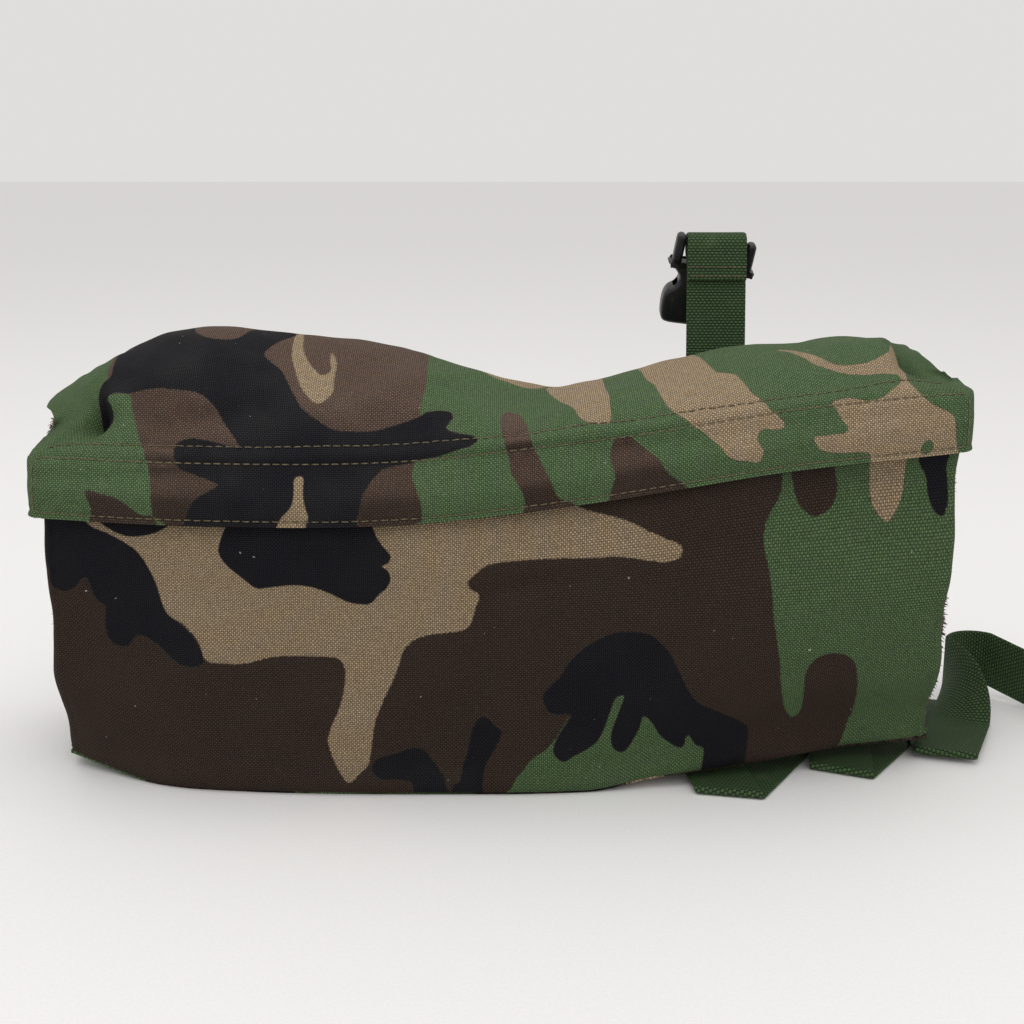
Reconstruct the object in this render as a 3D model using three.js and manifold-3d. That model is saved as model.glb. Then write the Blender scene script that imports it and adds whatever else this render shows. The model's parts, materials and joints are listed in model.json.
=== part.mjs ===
// A hand warmer muff: an insulated, pile-lined tube for both hands, open at its two ends, with a cargo pocket
// sewn to its front under a boxed storm flap, and a waist belt of flat webbing with a side-release buckle.
// Millimetres. +X runs along the muff to the wearer's left hand, +Y to its back, +Z up.
// The origin is on the flat underside, at the middle of the muff.
import * as THREE from "three";
import Module from "manifold-3d";
import { mergeVertices } from "three/addons/utils/BufferGeometryUtils.js";

const wasm = await Module();
wasm.setup();

// ---------------------------------------------------------------- driving dimensions
const GAP = 0.4; // clearance between pieces that touch
const CLOTH = 1.6; // coated cloth with its seam allowance
const BATTING = 5; // quilted insulation
const PILE = 4; // pile lining
const TUBE_HALF = 177; // half the length of the hand tube, without its cuffs
const CUFF = 6; // depth of the rolled cuff at each hand opening
const POCKET_HALF = 176; // half the width of the cargo pocket
const FLAP_HALF = 179; // half the width of the storm flap
const WALL_Y = -16; // the wall between hand tube and pocket, at mid length
const BACK_Y = 48; // the flat back, at mid length
const BOW = 10; // how far the front wall swings back towards the ends of the tube
const BACK_BOW = 3; // how far the back does the same
const WEB = 25.4; // width of the belt webbing
const WEB_THICK = 1.4;
const ROUNDNESS = 0.8; // below 1 the tube's section is squarer than an oval
const TAPE_HALF = 150; // half the length of the hook and loop tapes
const STRAP_X = 93; // the two belt anchors stand at -STRAP_X and +STRAP_X
const FOLD = 0.95; // radius of the webbing's middle at a flat fold
const FLOOR_LAY = 0.9; // height of the webbing's middle where it lies on the ground

const fabric = (color) => new THREE.MeshStandardMaterial({ color, roughness: 0.9, metalness: 0 });
const moulded = (color) => new THREE.MeshStandardMaterial({ color, roughness: 0.42, metalness: 0 });
const CAMO = fabric(0x4a4634);
const LINING = fabric(0x54433a);
const WADDING = fabric(0xcfcabd);
const WEBBING = fabric(0x333d28);
const HOOK_LOOP = fabric(0x2c3524);
const BUCKLE = moulded(0x19181c);

const muff = new THREE.Group();

function add(name, geometry, material) {
  const mesh = new THREE.Mesh(geometry, material);
  mesh.name = name;
  muff.add(mesh);
  return mesh;
}

// ---------------------------------------------------------------- curves along the muff
// A smooth curve through [x, value] stations, flat beyond its ends.
function along(stations) {
  const n = stations.length - 1;
  const slope = (i) => {
    const a = stations[Math.max(i - 1, 0)];
    const b = stations[Math.min(i + 1, n)];
    return (b[1] - a[1]) / (b[0] - a[0]);
  };
  return (x) => {
    if (x <= stations[0][0]) return stations[0][1];
    if (x >= stations[n][0]) return stations[n][1];
    const i = stations.findIndex((s) => s[0] > x) - 1;
    const [x0, y0] = stations[i];
    const [x1, y1] = stations[i + 1];
    const h = x1 - x0;
    const t = (x - x0) / h;
    const s = 1 - t;
    return (
      y0 * s * s * (1 + 2 * t) + y1 * t * t * (1 + 2 * s) + h * (slope(i) * t * s * s - slope(i + 1) * t * t * s)
    );
  };
}

// Crest of the slouching top, the flap's seam, its hem, and the pocket's foot and belly.
const crestZ = along([
  [-192, 137], [-165, 159], [-133, 174], [-92, 175], [-42, 168], [-12, 160], [15, 153],
  [42, 157], [67, 163], [100, 169], [146, 172], [172, 164.5], [192, 143],
]);
const seamZ = along([[-180, 136], [-100, 139.5], [-26, 143], [38, 149], [68, 152], [123, 159], [180, 161]]);
const seamY = along([[-180, -37], [-120, -43.5], [0, -46.5], [120, -43], [180, -35]]);
const hemZ = along([[-180, 111], [-77, 110], [-28, 112], [38, 120], [112, 131], [180, 136]]);
const hemY = along([[-180, -42], [-120, -51], [0, -55], [120, -49], [180, -39]]);
const footY = along([[-176, -21], [-120, -43], [0, -48], [60, -43], [100, -35], [140, -22], [176, -17]]);
const bellyY = along([[-176, -38], [-120, -49], [0, -53.5], [100, -47.5], [176, -35]]);
const lift = along([[-186, 8], [-150, 1.5], [-135, 0], [34, 0], [62, 4.6], [100, 7.4], [140, 9], [186, 11]]);
const baseZ = (x) => Math.max(0, lift(x));
const wallY = (x) => WALL_Y + BOW * Math.pow(Math.abs(x) / TUBE_HALF, 2.5);
const backY = (x) => BACK_Y + BACK_BOW * Math.pow(Math.max(0, Math.abs(x) - 115) / 70, 2);

// ---------------------------------------------------------------- closed solids from surfaces
// A closed body from a list of corner points and triangles, turned so that its faces point out.
function body(points, triangles) {
  let volume = 0;
  for (const [a, b, c] of triangles) volume += points[a].dot(points[b].clone().cross(points[c]));
  const index = triangles.flatMap(([a, b, c]) => (volume < 0 ? [a, c, b] : [a, b, c]));
  const geometry = new THREE.BufferGeometry();
  geometry.setAttribute("position", new THREE.Float32BufferAttribute(points.flatMap((p) => p.toArray()), 3));
  geometry.setIndex(index);
  geometry.computeVertexNormals();
  return geometry;
}

// The unit normal of surface(u, v) at a point.
function normalAt(surface, u, v) {
  const step = 1e-3;
  const du = surface(u + step, v).sub(surface(u - step, v));
  const dv = surface(u, v + step).sub(surface(u, v - step));
  return du.cross(dv).normalize();
}

// A curved slab: surface(u, v) for u and v from 0 to 1, thickened from offset near to offset far along its normal.
function slab(surface, near, far, nu, nv) {
  const points = [];
  for (const offset of [near, far])
    for (let i = 0; i <= nu; i++)
      for (let j = 0; j <= nv; j++) {
        const [u, v] = [i / nu, j / nv];
        points.push(surface(u, v).addScaledVector(normalAt(surface, u, v), offset));
      }
  const at = (layer, i, j) => layer * (nu + 1) * (nv + 1) + i * (nv + 1) + j;
  const triangles = [];
  const quad = (a, b, c, d) => triangles.push([a, b, c], [a, c, d]);
  for (let i = 0; i < nu; i++)
    for (let j = 0; j < nv; j++) {
      quad(at(0, i, j), at(0, i + 1, j), at(0, i + 1, j + 1), at(0, i, j + 1));
      quad(at(1, i, j), at(1, i, j + 1), at(1, i + 1, j + 1), at(1, i + 1, j));
    }
  for (let i = 0; i < nu; i++) {
    quad(at(0, i, 0), at(1, i, 0), at(1, i + 1, 0), at(0, i + 1, 0));
    quad(at(0, i, nv), at(0, i + 1, nv), at(1, i + 1, nv), at(1, i, nv));
  }
  for (let j = 0; j < nv; j++) {
    quad(at(0, 0, j), at(0, 0, j + 1), at(1, 0, j + 1), at(1, 0, j));
    quad(at(0, nu, j), at(1, nu, j), at(1, nu, j + 1), at(0, nu, j + 1));
  }
  return body(points, triangles);
}

// A sleeve between two closed loops: outer(x, turn) and inner(x, turn), with turn from 0 to 1 round the loop.
function sleeve(outer, inner, x0, x1, nx, nt) {
  const points = [];
  for (const loop of [outer, inner])
    for (let i = 0; i <= nx; i++)
      for (let j = 0; j < nt; j++) points.push(loop(x0 + ((x1 - x0) * i) / nx, j / nt));
  const at = (layer, i, j) => (layer * (nx + 1) + i) * nt + (j % nt);
  const triangles = [];
  const quad = (a, b, c, d) => triangles.push([a, b, c], [a, c, d]);
  for (let j = 0; j < nt; j++) {
    for (let i = 0; i < nx; i++) {
      quad(at(0, i, j), at(0, i + 1, j), at(0, i + 1, j + 1), at(0, i, j + 1));
      quad(at(1, i, j), at(1, i, j + 1), at(1, i + 1, j + 1), at(1, i + 1, j));
    }
    quad(at(0, 0, j), at(0, 0, j + 1), at(1, 0, j + 1), at(1, 0, j));
    quad(at(0, nx, j), at(1, nx, j), at(1, nx, j + 1), at(0, nx, j + 1));
  }
  return body(points, triangles);
}

// A point on a smooth line through the profile's [y, z] points, at v from 0 to 1.
function onProfile(profile, v) {
  const last = profile.length - 1;
  const t = v * last;
  const i = Math.min(Math.max(Math.floor(t), 0), last - 1);
  const pick = (k) => profile[Math.min(Math.max(k, 0), last)];
  const f = t - i;
  return [0, 1].map((c) => {
    const [a, b, d, e] = [pick(i - 1)[c], pick(i)[c], pick(i + 1)[c], pick(i + 2)[c]];
    const [ta, tb] = [(d - a) / 2, (e - b) / 2];
    return b + ta * f + (3 * (d - b) - 2 * ta - tb) * f * f + (2 * (b - d) + ta + tb) * f * f * f;
  });
}

// ---------------------------------------------------------------- profiles across the muff
// Each is a list of [y, z] points at a station x, on the piece's outer face.
const topProfile = (x) => {
  const [sy, sz, crest, back] = [seamY(x), seamZ(x), crestZ(x), backY(x)];
  const rise = crest - sz;
  return [
    [sy, sz], [sy + 12, sz + 0.42 * rise], [-13, sz + 0.84 * rise], [back - 40, crest],
    [back - 20, crest - 4.5], [back - 6, crest - 19],
  ];
};
const backProfile = (x) => {
  const [back, crest] = [backY(x), crestZ(x)];
  return [
    [back - 4.6, crest - 21], [back - 0.8, crest - 33], [back, 108], [back, 84], [back, 60], [back, 36],
    [back - 1.5, 18], [back - 6, baseZ(x) + 3],
  ];
};
const MOUTH = 14; // height of the pocket's mouth under the flap
const pocketProfile = (x) => {
  const [foot, belly, base] = [footY(x), bellyY(x), baseZ(x)];
  const [hy, hz, sy, sz] = [hemY(x), hemZ(x), seamY(x), seamZ(x)];
  return [
    [foot, base + 2.4], [foot - 2.5, base + 16], [0.4 * foot + 0.6 * belly - 1, 44], [belly, 74],
    [Math.max(belly, hy) + 1, hz - 10], [hy + 6.6, hz + 3], [(hy + sy) / 2 + 6, sz - MOUTH],
  ];
};
const flapProfile = (x) => [
  [hemY(x), hemZ(x)], [hemY(x) - 0.4, hemZ(x) + 11], [seamY(x) - 4, seamZ(x) - 9], [seamY(x) - 2, seamZ(x) - 5],
];

// A panel whose u runs along the muff between -half and +half and whose v runs along a profile.
const panel = (profile, half, from = 0, to = 1) => (u, v) => {
  const x = (2 * u - 1) * (typeof half === "function" ? half(v) : half);
  const [y, z] = onProfile(profile(x), from + (to - from) * v);
  return new THREE.Vector3(x, y, z);
};

// ---------------------------------------------------------------- shell of the hand tube
const topHalf = (v) => 176 + (TUBE_HALF - 176) * Math.min(1, Math.max(0, (v - 0.2) / 0.3));
add("muff_top_panel", slab(panel(topProfile, topHalf), 0, -CLOTH, 20, 8), CAMO);
add("muff_back_panel", slab(panel(backProfile, TUBE_HALF), 0, -CLOTH, 16, 7), CAMO);
const underside = (u, v) => {
  const x = (2 * u - 1) * POCKET_HALF;
  return new THREE.Vector3(x, footY(x) + 0.4 + (38 - footY(x)) * v, baseZ(x));
};
add("muff_bottom_panel", slab(underside, 0, CLOTH, 24, 2), CAMO);
const dividing = (u, v) => {
  const x = (2 * u - 1) * TUBE_HALF;
  const low = baseZ(x) + CLOTH + 1.4;
  return new THREE.Vector3(x, wallY(x), low + (crestZ(x) - 15 - low) * v);
};
add("muff_front_wall", slab(dividing, 0, CLOTH, 14, 3), CAMO);

// The tube's loop: a rounded oblong between the front wall and the back panel, drawn in by inset.
const loop = (inset) => (x, turn) => {
  const angle = 2 * Math.PI * turn;
  const [front, back] = [wallY(x) + GAP, backY(x) - CLOTH - 1.2];
  const [low, high] = [baseZ(x) + CLOTH + 1.4, crestZ(x) - CLOTH - 5];
  const round = (c) => Math.sign(c) * Math.pow(Math.abs(c), ROUNDNESS);
  return new THREE.Vector3(
    x,
    (front + back) / 2 + ((back - front) / 2 - inset) * round(Math.cos(angle)),
    (low + high) / 2 + ((high - low) / 2 - inset) * round(Math.sin(angle)),
  );
};
const AROUND = 20;
const PILE_INSET = BATTING + GAP;
add("insulation_batting", sleeve(loop(0), loop(BATTING), -TUBE_HALF, TUBE_HALF, 14, AROUND), WADDING);
const pile = sleeve(loop(PILE_INSET), loop(PILE_INSET + PILE), -TUBE_HALF, TUBE_HALF, 14, AROUND);
add("pile_lining", pile, LINING);
for (const [name, side] of [["cuff_left", -1], ["cuff_right", 1]]) {
  const from = side * (TUBE_HALF + GAP);
  add(name, sleeve(loop(-1), loop(PILE_INSET + PILE), from, from + side * CUFF, 2, AROUND), LINING);
}

// ---------------------------------------------------------------- cargo pocket
const FRONT_HALF = POCKET_HALF - CLOTH - GAP;
add("pocket_front_panel", slab(panel(pocketProfile, FRONT_HALF), 0, -CLOTH, 20, 9), CAMO);
add("pocket_hem_band", slab(panel(pocketProfile, FRONT_HALF - 4, 0.86, 0.99), -2.4, -3.4, 20, 1), CAMO);
add("loop_tape", slab(panel(pocketProfile, TAPE_HALF, 0.84, 0.97), GAP, GAP + 1, 20, 1), HOOK_LOOP);
for (const [name, side] of [["pocket_gusset_left", -1], ["pocket_gusset_right", 1]]) {
  const x = side * POCKET_HALF;
  const gusset = (u, v) => {
    const [y, z] = onProfile(pocketProfile(x), 0.03 + 0.97 * v);
    return new THREE.Vector3(x, y + (wallY(x) - CLOTH - 2 * GAP - y) * u, z);
  };
  add(name, slab(gusset, -CLOTH / 2, CLOTH / 2, 2, 8), CAMO);
}

// ---------------------------------------------------------------- storm flap
// The cloth of the top runs on below its seam as the flap, and bends there.
add("flap_face", slab(panel(flapProfile, FLAP_HALF), 0, -1, 20, 5), CAMO);
add("flap_facing", slab(panel(flapProfile, FLAP_HALF - 1.5, 0.02, 0.7), -1.5, -2.3, 20, 3), CAMO);
add("hook_tape", slab(panel(flapProfile, TAPE_HALF, 0.18, 0.6), -2.8, -3.6, 20, 2), HOOK_LOOP);
for (const [name, side] of [["flap_end_left", -1], ["flap_end_right", 1]]) {
  const x = side * (FLAP_HALF + GAP + 0.8);
  const reach = wallY(x) - 6;
  const end = (u, v) => {
    const [y, z] = onProfile(flapProfile(x), 0.9 * v);
    return new THREE.Vector3(x + side * 1.2 * Math.sin(Math.PI * u), y + (reach - y) * u, z - 3 * u * v);
  };
  add(name, slab(end, -0.6, 0.6, 3, 3), CAMO);
}

// ---------------------------------------------------------------- flat webbing
const turned = (axis, angle) => new THREE.Matrix4().makeRotationAxis(axis, angle);
const moved = (x, y, z) => new THREE.Matrix4().makeTranslation(x, y, z);

// Lays webbing as a tape that only bends and twists. Its frame runs x forward, y across and z out of its face,
// and a row of corners is kept at each step. A row may be sheared, so that it lies along a slanting fold.
class Tape {
  constructor(place) {
    this.at = place.clone();
    this.shear = 0;
    this.rows = [];
    this.keep();
  }
  keep() {
    this.rows.push([this.at.clone(), this.shear]);
  }
  place() {
    return new THREE.Vector3().setFromMatrixPosition(this.at);
  }
  forward(length, steps = 1, shear = 0) {
    const from = this.shear;
    for (let i = 1; i <= steps; i++) {
      this.at.multiply(moved(length / steps, 0, 0));
      this.shear = from + ((shear - from) * i) / steps;
      this.keep();
    }
    return this;
  }
  // Turns over its edge at edge (across), and comes down by sink on the way.
  twist(length, angle, edge, sink, steps = 7) {
    for (let i = 0; i < steps; i++) {
      this.at
        .multiply(moved(length / steps, edge, 0))
        .multiply(turned(new THREE.Vector3(1, 0, 0), angle / steps))
        .multiply(moved(0, -edge, 0))
        .premultiply(moved(0, 0, -sink / steps));
      this.keep();
    }
    return this;
  }
  bend(angle, radius, steps = 5, skew = 0) {
    const axis = new THREE.Vector3(Math.sin(skew), Math.cos(skew), 0);
    const slide = (Math.abs(radius) * angle * Math.tan(skew)) / steps;
    for (let i = 0; i < steps; i++) {
      this.at
        .multiply(moved(axis.x * slide, axis.y * slide, 0))
        .multiply(moved(0, 0, radius))
        .multiply(turned(axis, (-Math.sign(radius) * angle) / steps))
        .multiply(moved(0, 0, -radius));
      this.keep();
    }
    return this;
  }
  // Runs on to point p on its own plane, and folds flat there towards point q, onto its own upper or lower side.
  foldAt(p, q, upward) {
    const inverse = this.at.clone().invert();
    const way = q.clone().sub(p).setZ(0).normalize().transformDirection(inverse);
    const skew = 0.5 * Math.atan2(way.y, -way.x);
    const faceUp = new THREE.Vector3().setFromMatrixColumn(this.at, 2).z > 0;
    const lead = Math.abs((WEB / 2) * Math.tan(skew)) + 1.5;
    this.forward(p.clone().sub(this.place()).setZ(0).length() - lead, 3);
    this.forward(lead, 1, Math.tan(skew));
    this.bend(Math.PI, faceUp === upward ? FOLD : -FOLD, 5, skew);
    return this.forward(lead);
  }
  solid(width = WEB, thick = WEB_THICK) {
    const points = [];
    for (const [at, shear] of this.rows)
      for (const [side, face] of [[-1, -1], [1, -1], [1, 1], [-1, 1]])
        points.push(
          new THREE.Vector3((side * width * shear) / 2, (side * width) / 2, (face * thick) / 2).applyMatrix4(at),
        );
    const triangles = [[0, 1, 2], [0, 2, 3]];
    for (let i = 0; i + 1 < this.rows.length; i++)
      for (let k = 0; k < 4; k++) {
        const [a, b] = [4 * i + k, 4 * i + ((k + 1) % 4)];
        triangles.push([a, a + 4, b + 4], [a, b + 4, b]);
      }
    const end = 4 * (this.rows.length - 1);
    triangles.push([end, end + 2, end + 1], [end, end + 3, end + 2]);
    return body(points, triangles);
  }
}

// A tape's frame at a point, from its heading and the way that its face looks.
function heading(place, forward, out) {
  const across = out.clone().cross(forward);
  return new THREE.Matrix4().makeBasis(forward, across, out).setPosition(place);
}
const vec = (x, y, z) => new THREE.Vector3(x, y, z);
const [UP, DOWN, REAR] = [vec(0, 0, 1), vec(0, 0, -1), vec(0, 1, 0)];

// The sewn ends of the belt, up the back panel.
const SEWN_LOW = 62;
const SEWN_HIGH = 126;
const sewnY = BACK_Y + GAP + WEB_THICK / 2;
for (const [name, x] of [["belt_anchor_left", -STRAP_X], ["belt_anchor_right", STRAP_X]]) {
  const sewn = new Tape(heading(vec(x, sewnY, SEWN_LOW), UP, REAR)).forward(SEWN_HIGH - SEWN_LOW, 2);
  add(name, sewn.solid(), WEBBING);
}

// The short belt end: it stands up behind the muff, goes round the socket's bar and is sewn to itself.
const BAR = 1.9; // radius of the bar in each half of the buckle
const LOOP_R = BAR + GAP + WEB_THICK / 2; // the belt's turn round the plug's bar
const SLACK_R = LOOP_R + 1.9; // the short end's loop, slack enough for the socket to hang askew
const LEAN = 0.12; // how far the short end leans back, in radians
const SHORT_RUN = 79; // from its sewn foot to the bar
const WRAP = 0.9; // how far the loop goes past half a turn, to come forward through the socket's window
const lean = vec(0, Math.sin(LEAN), Math.cos(LEAN));
const leanOut = vec(0, Math.cos(LEAN), -Math.sin(LEAN));
const shortFoot = vec(STRAP_X, sewnY + 0.2, SEWN_HIGH + 1.6);
const shortEnd = new Tape(heading(shortFoot, lean, leanOut)).forward(SHORT_RUN, 3);
const barAt = shortEnd.place().addScaledVector(leanOut, SLACK_R);
shortEnd.bend(Math.PI + WRAP, SLACK_R, 12).forward(6).bend(WRAP - 0.04, -3, 3).forward(12);
add("short_strap", shortEnd.solid(), WEBBING);

// ---------------------------------------------------------------- side-release buckle
const solidOf = (geometry) => {
  const plain = geometry.clone();
  plain.deleteAttribute("normal");
  plain.deleteAttribute("uv");
  const merged = mergeVertices(plain, 1e-4);
  return new wasm.Manifold(
    new wasm.Mesh({
      numProp: 3,
      vertProperties: merged.attributes.position.array,
      triVerts: new Uint32Array(merged.index.array),
    }),
  );
};
const geometryOf = (solid) => {
  const mesh = solid.getMesh();
  const geometry = new THREE.BufferGeometry();
  geometry.setAttribute("position", new THREE.BufferAttribute(mesh.vertProperties, 3));
  geometry.setIndex(new THREE.BufferAttribute(mesh.triVerts, 1));
  return geometry;
};
const block = (x0, x1, y0, y1, z0, z1) =>
  solidOf(new THREE.BoxGeometry(x1 - x0, y1 - y0, z1 - z0).translate((x0 + x1) / 2, (y0 + y1) / 2, (z0 + z1) / 2));

// A plate: an outline across (x) and along (z) the buckle, extruded through its thickness (y).
function plate(outline, thick, bevel = 0.6) {
  const shape = new THREE.Shape(outline.map(([x, z]) => new THREE.Vector2(x, z)));
  const geometry = new THREE.ExtrudeGeometry(shape, {
    depth: thick - 2 * bevel,
    bevelEnabled: true,
    bevelThickness: bevel,
    bevelSize: bevel,
    bevelOffset: -bevel,
    bevelSegments: 1,
    curveSegments: 8,
  });
  return solidOf(geometry.translate(0, 0, -thick / 2 + bevel).rotateX(Math.PI / 2));
}
const mirrored = (half) => [...half, ...half.map(([x, z]) => [-x, z]).reverse()];

// The bar of either half, on the x axis.
const bar = solidOf(new THREE.CylinderGeometry(BAR, BAR, 29.6, 16).rotateZ(Math.PI / 2));
const posts = (low, thick) =>
  block(-16.6, 16.6, -thick, thick, low, BAR + 0.4).subtract(block(-14.3, 14.3, -thick - 1, thick + 1, low - 1, BAR + 1));

// Socket half, hanging along -z from its bar.
const SOCKET_LONG = 37;
const socketOutline = mirrored([
  [15.8, -10.4], [14.6, -12.5], [13, -14.5], [12.8, -17], [14, -19.5], [17, -21.6], [18.3, -25],
  [18.2, -31], [17, -SOCKET_LONG],
]);
const socket = plate(socketOutline, 9, 1.2)
  .add(posts(-12.5, 2.2))
  .add(bar)
  .subtract(block(-15, 15, -3, 3, -SOCKET_LONG - 1, -17));
const HANG = 0.3; // the socket rests this far out from straight down, against the standing webbing, in radians
const ASKEW = 0.15; // and this far turned in its own plane
const socketMesh = add("buckle_socket", geometryOf(socket), BUCKLE);
socketMesh.position.copy(barAt);
socketMesh.rotation.set(HANG, ASKEW, 0);

// ---------------------------------------------------------------- long belt end
// It comes off the back panel, lies along the ground behind the muff, and goes to and fro under its right end in
// flat folds. Three of its folds come out in front of the muff. It leaves to the right standing on its edge, turns
// forward, lies down flat again, and goes round the plug's bar and back on itself through a keeper.
const lay = (x, y) => vec(x, y, 0);
const ROUTE = [
  [lay(-STRAP_X, 76), false], [lay(70, 73), true], [lay(87, -49), false], [lay(150, 56), true],
  [lay(135, -27), false], [lay(189, 50), true], [lay(180, -14), true],
];
const TURN_BACK = lay(211, 54); // where it is on edge and turns to the right
const DRAPE = 9; // radius with which it comes down onto the ground
const TWIST = 38; // length over which it turns from flat to its edge
const STACK_HIGH = 4.2; // how far it comes down from the stack of folds to the ground
const PLUG_HIGH = 2.2; // height of its middle as it meets the plug
const landing = FLOOR_LAY + 2 * FOLD;
const longEnd = new Tape(heading(vec(-STRAP_X, sewnY + 0.2, SEWN_LOW - 0.6), DOWN, REAR));
longEnd.forward(SEWN_LOW - 0.6 - landing - DRAPE, 2).bend(Math.PI / 2, DRAPE, 5);
ROUTE.forEach(([p, upward], i) => longEnd.foldAt(p, i + 1 < ROUTE.length ? ROUTE[i + 1][0] : TURN_BACK, upward));
const left = TURN_BACK.clone().sub(longEnd.place()).setZ(0).length();
longEnd.forward(left - TWIST, 2).twist(TWIST, -Math.PI / 2, -WEB / 2, 0);
longEnd.bend(1.95, 13, 8).twist(20, 0, 0, STACK_HIGH, 3).bend(0.85, 16, 4);
longEnd.twist(TWIST, -Math.PI / 2, -WEB / 2, FLOOR_LAY - PLUG_HIGH - 0.4).forward(50);
const onward = new THREE.Vector3().setFromMatrixColumn(longEnd.at, 0);
const plugBar = longEnd.place().addScaledVector(new THREE.Vector3().setFromMatrixColumn(longEnd.at, 2), LOOP_R);
longEnd.bend(Math.PI + 0.25, LOOP_R, 10).forward(12).bend(0.25, -6, 2).forward(30);
add("long_strap", longEnd.solid(), WEBBING);

// Plug half: the same bar and posts, a guide down the middle and two springy prongs with barbs.
const plugOutline = mirrored([
  [16.2, -8.6], [16.2, -12.5], [13.4, -15.5], [13.6, -24], [17.4, -26.5], [18.4, -30], [15.4, -35.5], [12.6, -36.5],
  [11, -33], [10.2, -26], [9.4, -17.5], [3.4, -17.5], [3, -34], [1.6, -36],
]);
const plug = plate(plugOutline, 6, 0.8).add(posts(-11, 2.2)).add(bar);
const plugMesh = add("buckle_plug", geometryOf(plug), BUCKLE);
plugMesh.position.copy(plugBar);
const aside = UP.clone().cross(onward.clone().negate());
plugMesh.quaternion.setFromRotationMatrix(new THREE.Matrix4().makeBasis(aside, UP, onward.clone().negate()));

// Woven keeper that holds the belt's tail.
const KEEPER_BACK = 24; // how far behind the plug's bar it stands
const keeperRing = block(-14.3, 14.3, -2, 4.8, -4, 4).subtract(block(-13.3, 13.3, -1, 3.8, -5, 5));
const keeper = add("strap_keeper", geometryOf(keeperRing), WEBBING);
keeper.position.copy(plugBar).addScaledVector(onward, -KEEPER_BACK).setZ(PLUG_HIGH);
keeper.quaternion.copy(plugMesh.quaternion);

export default muff;
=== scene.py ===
import json
import math

import bmesh
import bpy
import numpy as np
from mathutils import Matrix


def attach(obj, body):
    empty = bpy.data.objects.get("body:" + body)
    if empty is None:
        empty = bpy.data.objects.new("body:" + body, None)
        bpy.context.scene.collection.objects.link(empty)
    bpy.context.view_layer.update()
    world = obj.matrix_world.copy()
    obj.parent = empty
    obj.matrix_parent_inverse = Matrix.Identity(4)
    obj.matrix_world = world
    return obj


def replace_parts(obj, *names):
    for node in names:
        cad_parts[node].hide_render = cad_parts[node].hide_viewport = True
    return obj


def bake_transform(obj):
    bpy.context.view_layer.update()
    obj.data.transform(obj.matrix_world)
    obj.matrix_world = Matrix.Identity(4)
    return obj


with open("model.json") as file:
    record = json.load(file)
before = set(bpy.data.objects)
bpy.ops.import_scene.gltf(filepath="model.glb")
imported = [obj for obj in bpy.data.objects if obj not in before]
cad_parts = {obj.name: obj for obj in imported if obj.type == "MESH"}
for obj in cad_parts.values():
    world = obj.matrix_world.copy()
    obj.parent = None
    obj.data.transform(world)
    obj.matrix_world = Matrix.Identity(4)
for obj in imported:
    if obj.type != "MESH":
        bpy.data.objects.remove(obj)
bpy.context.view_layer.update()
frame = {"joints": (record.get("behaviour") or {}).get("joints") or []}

bl_info = {
    "name": "Hand Warmer Muff",
    "version": (1, 0, 0),
    "blender": (4, 5, 0),
    "location": "View3D > Sidebar > Muff",
    "description": "Builds the looks of a padded hand warmer muff around its frame",
    "category": "Add Mesh",
}

# Lengths are millimetres until a mesh is made. +X runs along the muff, +Y to its back, +Z up.
MM = 0.001
SEED = 7

# ---------------------------------------------------------------- driving dimensions
GAP = 0.4
CLOTH = 1.6
TUBE_HALF = 177.0  # half the length of the hand tube, without its cuffs
WALL_Y = -16.0  # wall between tube and pocket, at mid length
BACK_Y = 48.0  # back panel's inner face, at mid length
BOW = 10.0  # how far the wall bows back towards the ends
BACK_BOW = 3.0
WEB = 25.4  # belt webbing's width
WEB_THICK = 1.4
TAPE_HALF = 150.0  # half the length of the hook and loop tapes
STRAP_X = 93.0  # the belt's ends are sewn on this far from the middle
FOLD = 0.95  # radius of a flat fold in the belt
FLOOR_LAY = 0.9  # height of the belt's middle plane on the floor
BAR = 1.9  # radius of the buckle's bars
FLOOR_HALF = 9.0  # metres
FIELD_OF_VIEW = math.radians(38)
EYE = (0.005, -0.587, 0.249)  # metres
LOOK_DOWN = math.radians(14)
LAMPS = (  # name, place and size in metres, power in watts
    ("overhead_light", (-0.15, -0.35, 1.5), 1.6, 9.0), ("front_light", (0.5, -1.6, 0.9), 1.4, 1.5),
)
LAMP_AIM = 0.09  # metres above the floor


# ---------------------------------------------------------------- curves along the muff
def along(stations):
    """A smooth curve through (x, value) stations: cubics, with slopes from their neighbours."""
    xs, ys = np.array(stations, float).T
    slopes = np.empty_like(ys)
    slopes[1:-1] = (ys[2:] - ys[:-2]) / (xs[2:] - xs[:-2])
    slopes[0] = (ys[1] - ys[0]) / (xs[1] - xs[0])
    slopes[-1] = (ys[-1] - ys[-2]) / (xs[-1] - xs[-2])

    def curve(x):
        x = np.clip(x, xs[0], xs[-1])
        i = np.clip(np.searchsorted(xs, x, side="right") - 1, 0, len(xs) - 2)
        h = xs[i + 1] - xs[i]
        t = (x - xs[i]) / h
        s = 1 - t
        ends = ys[i] * s * s * (1 + 2 * t) + ys[i + 1] * t * t * (1 + 2 * s)
        return ends + h * (slopes[i] * t * s * s - slopes[i + 1] * t * t * s)

    return curve


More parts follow.
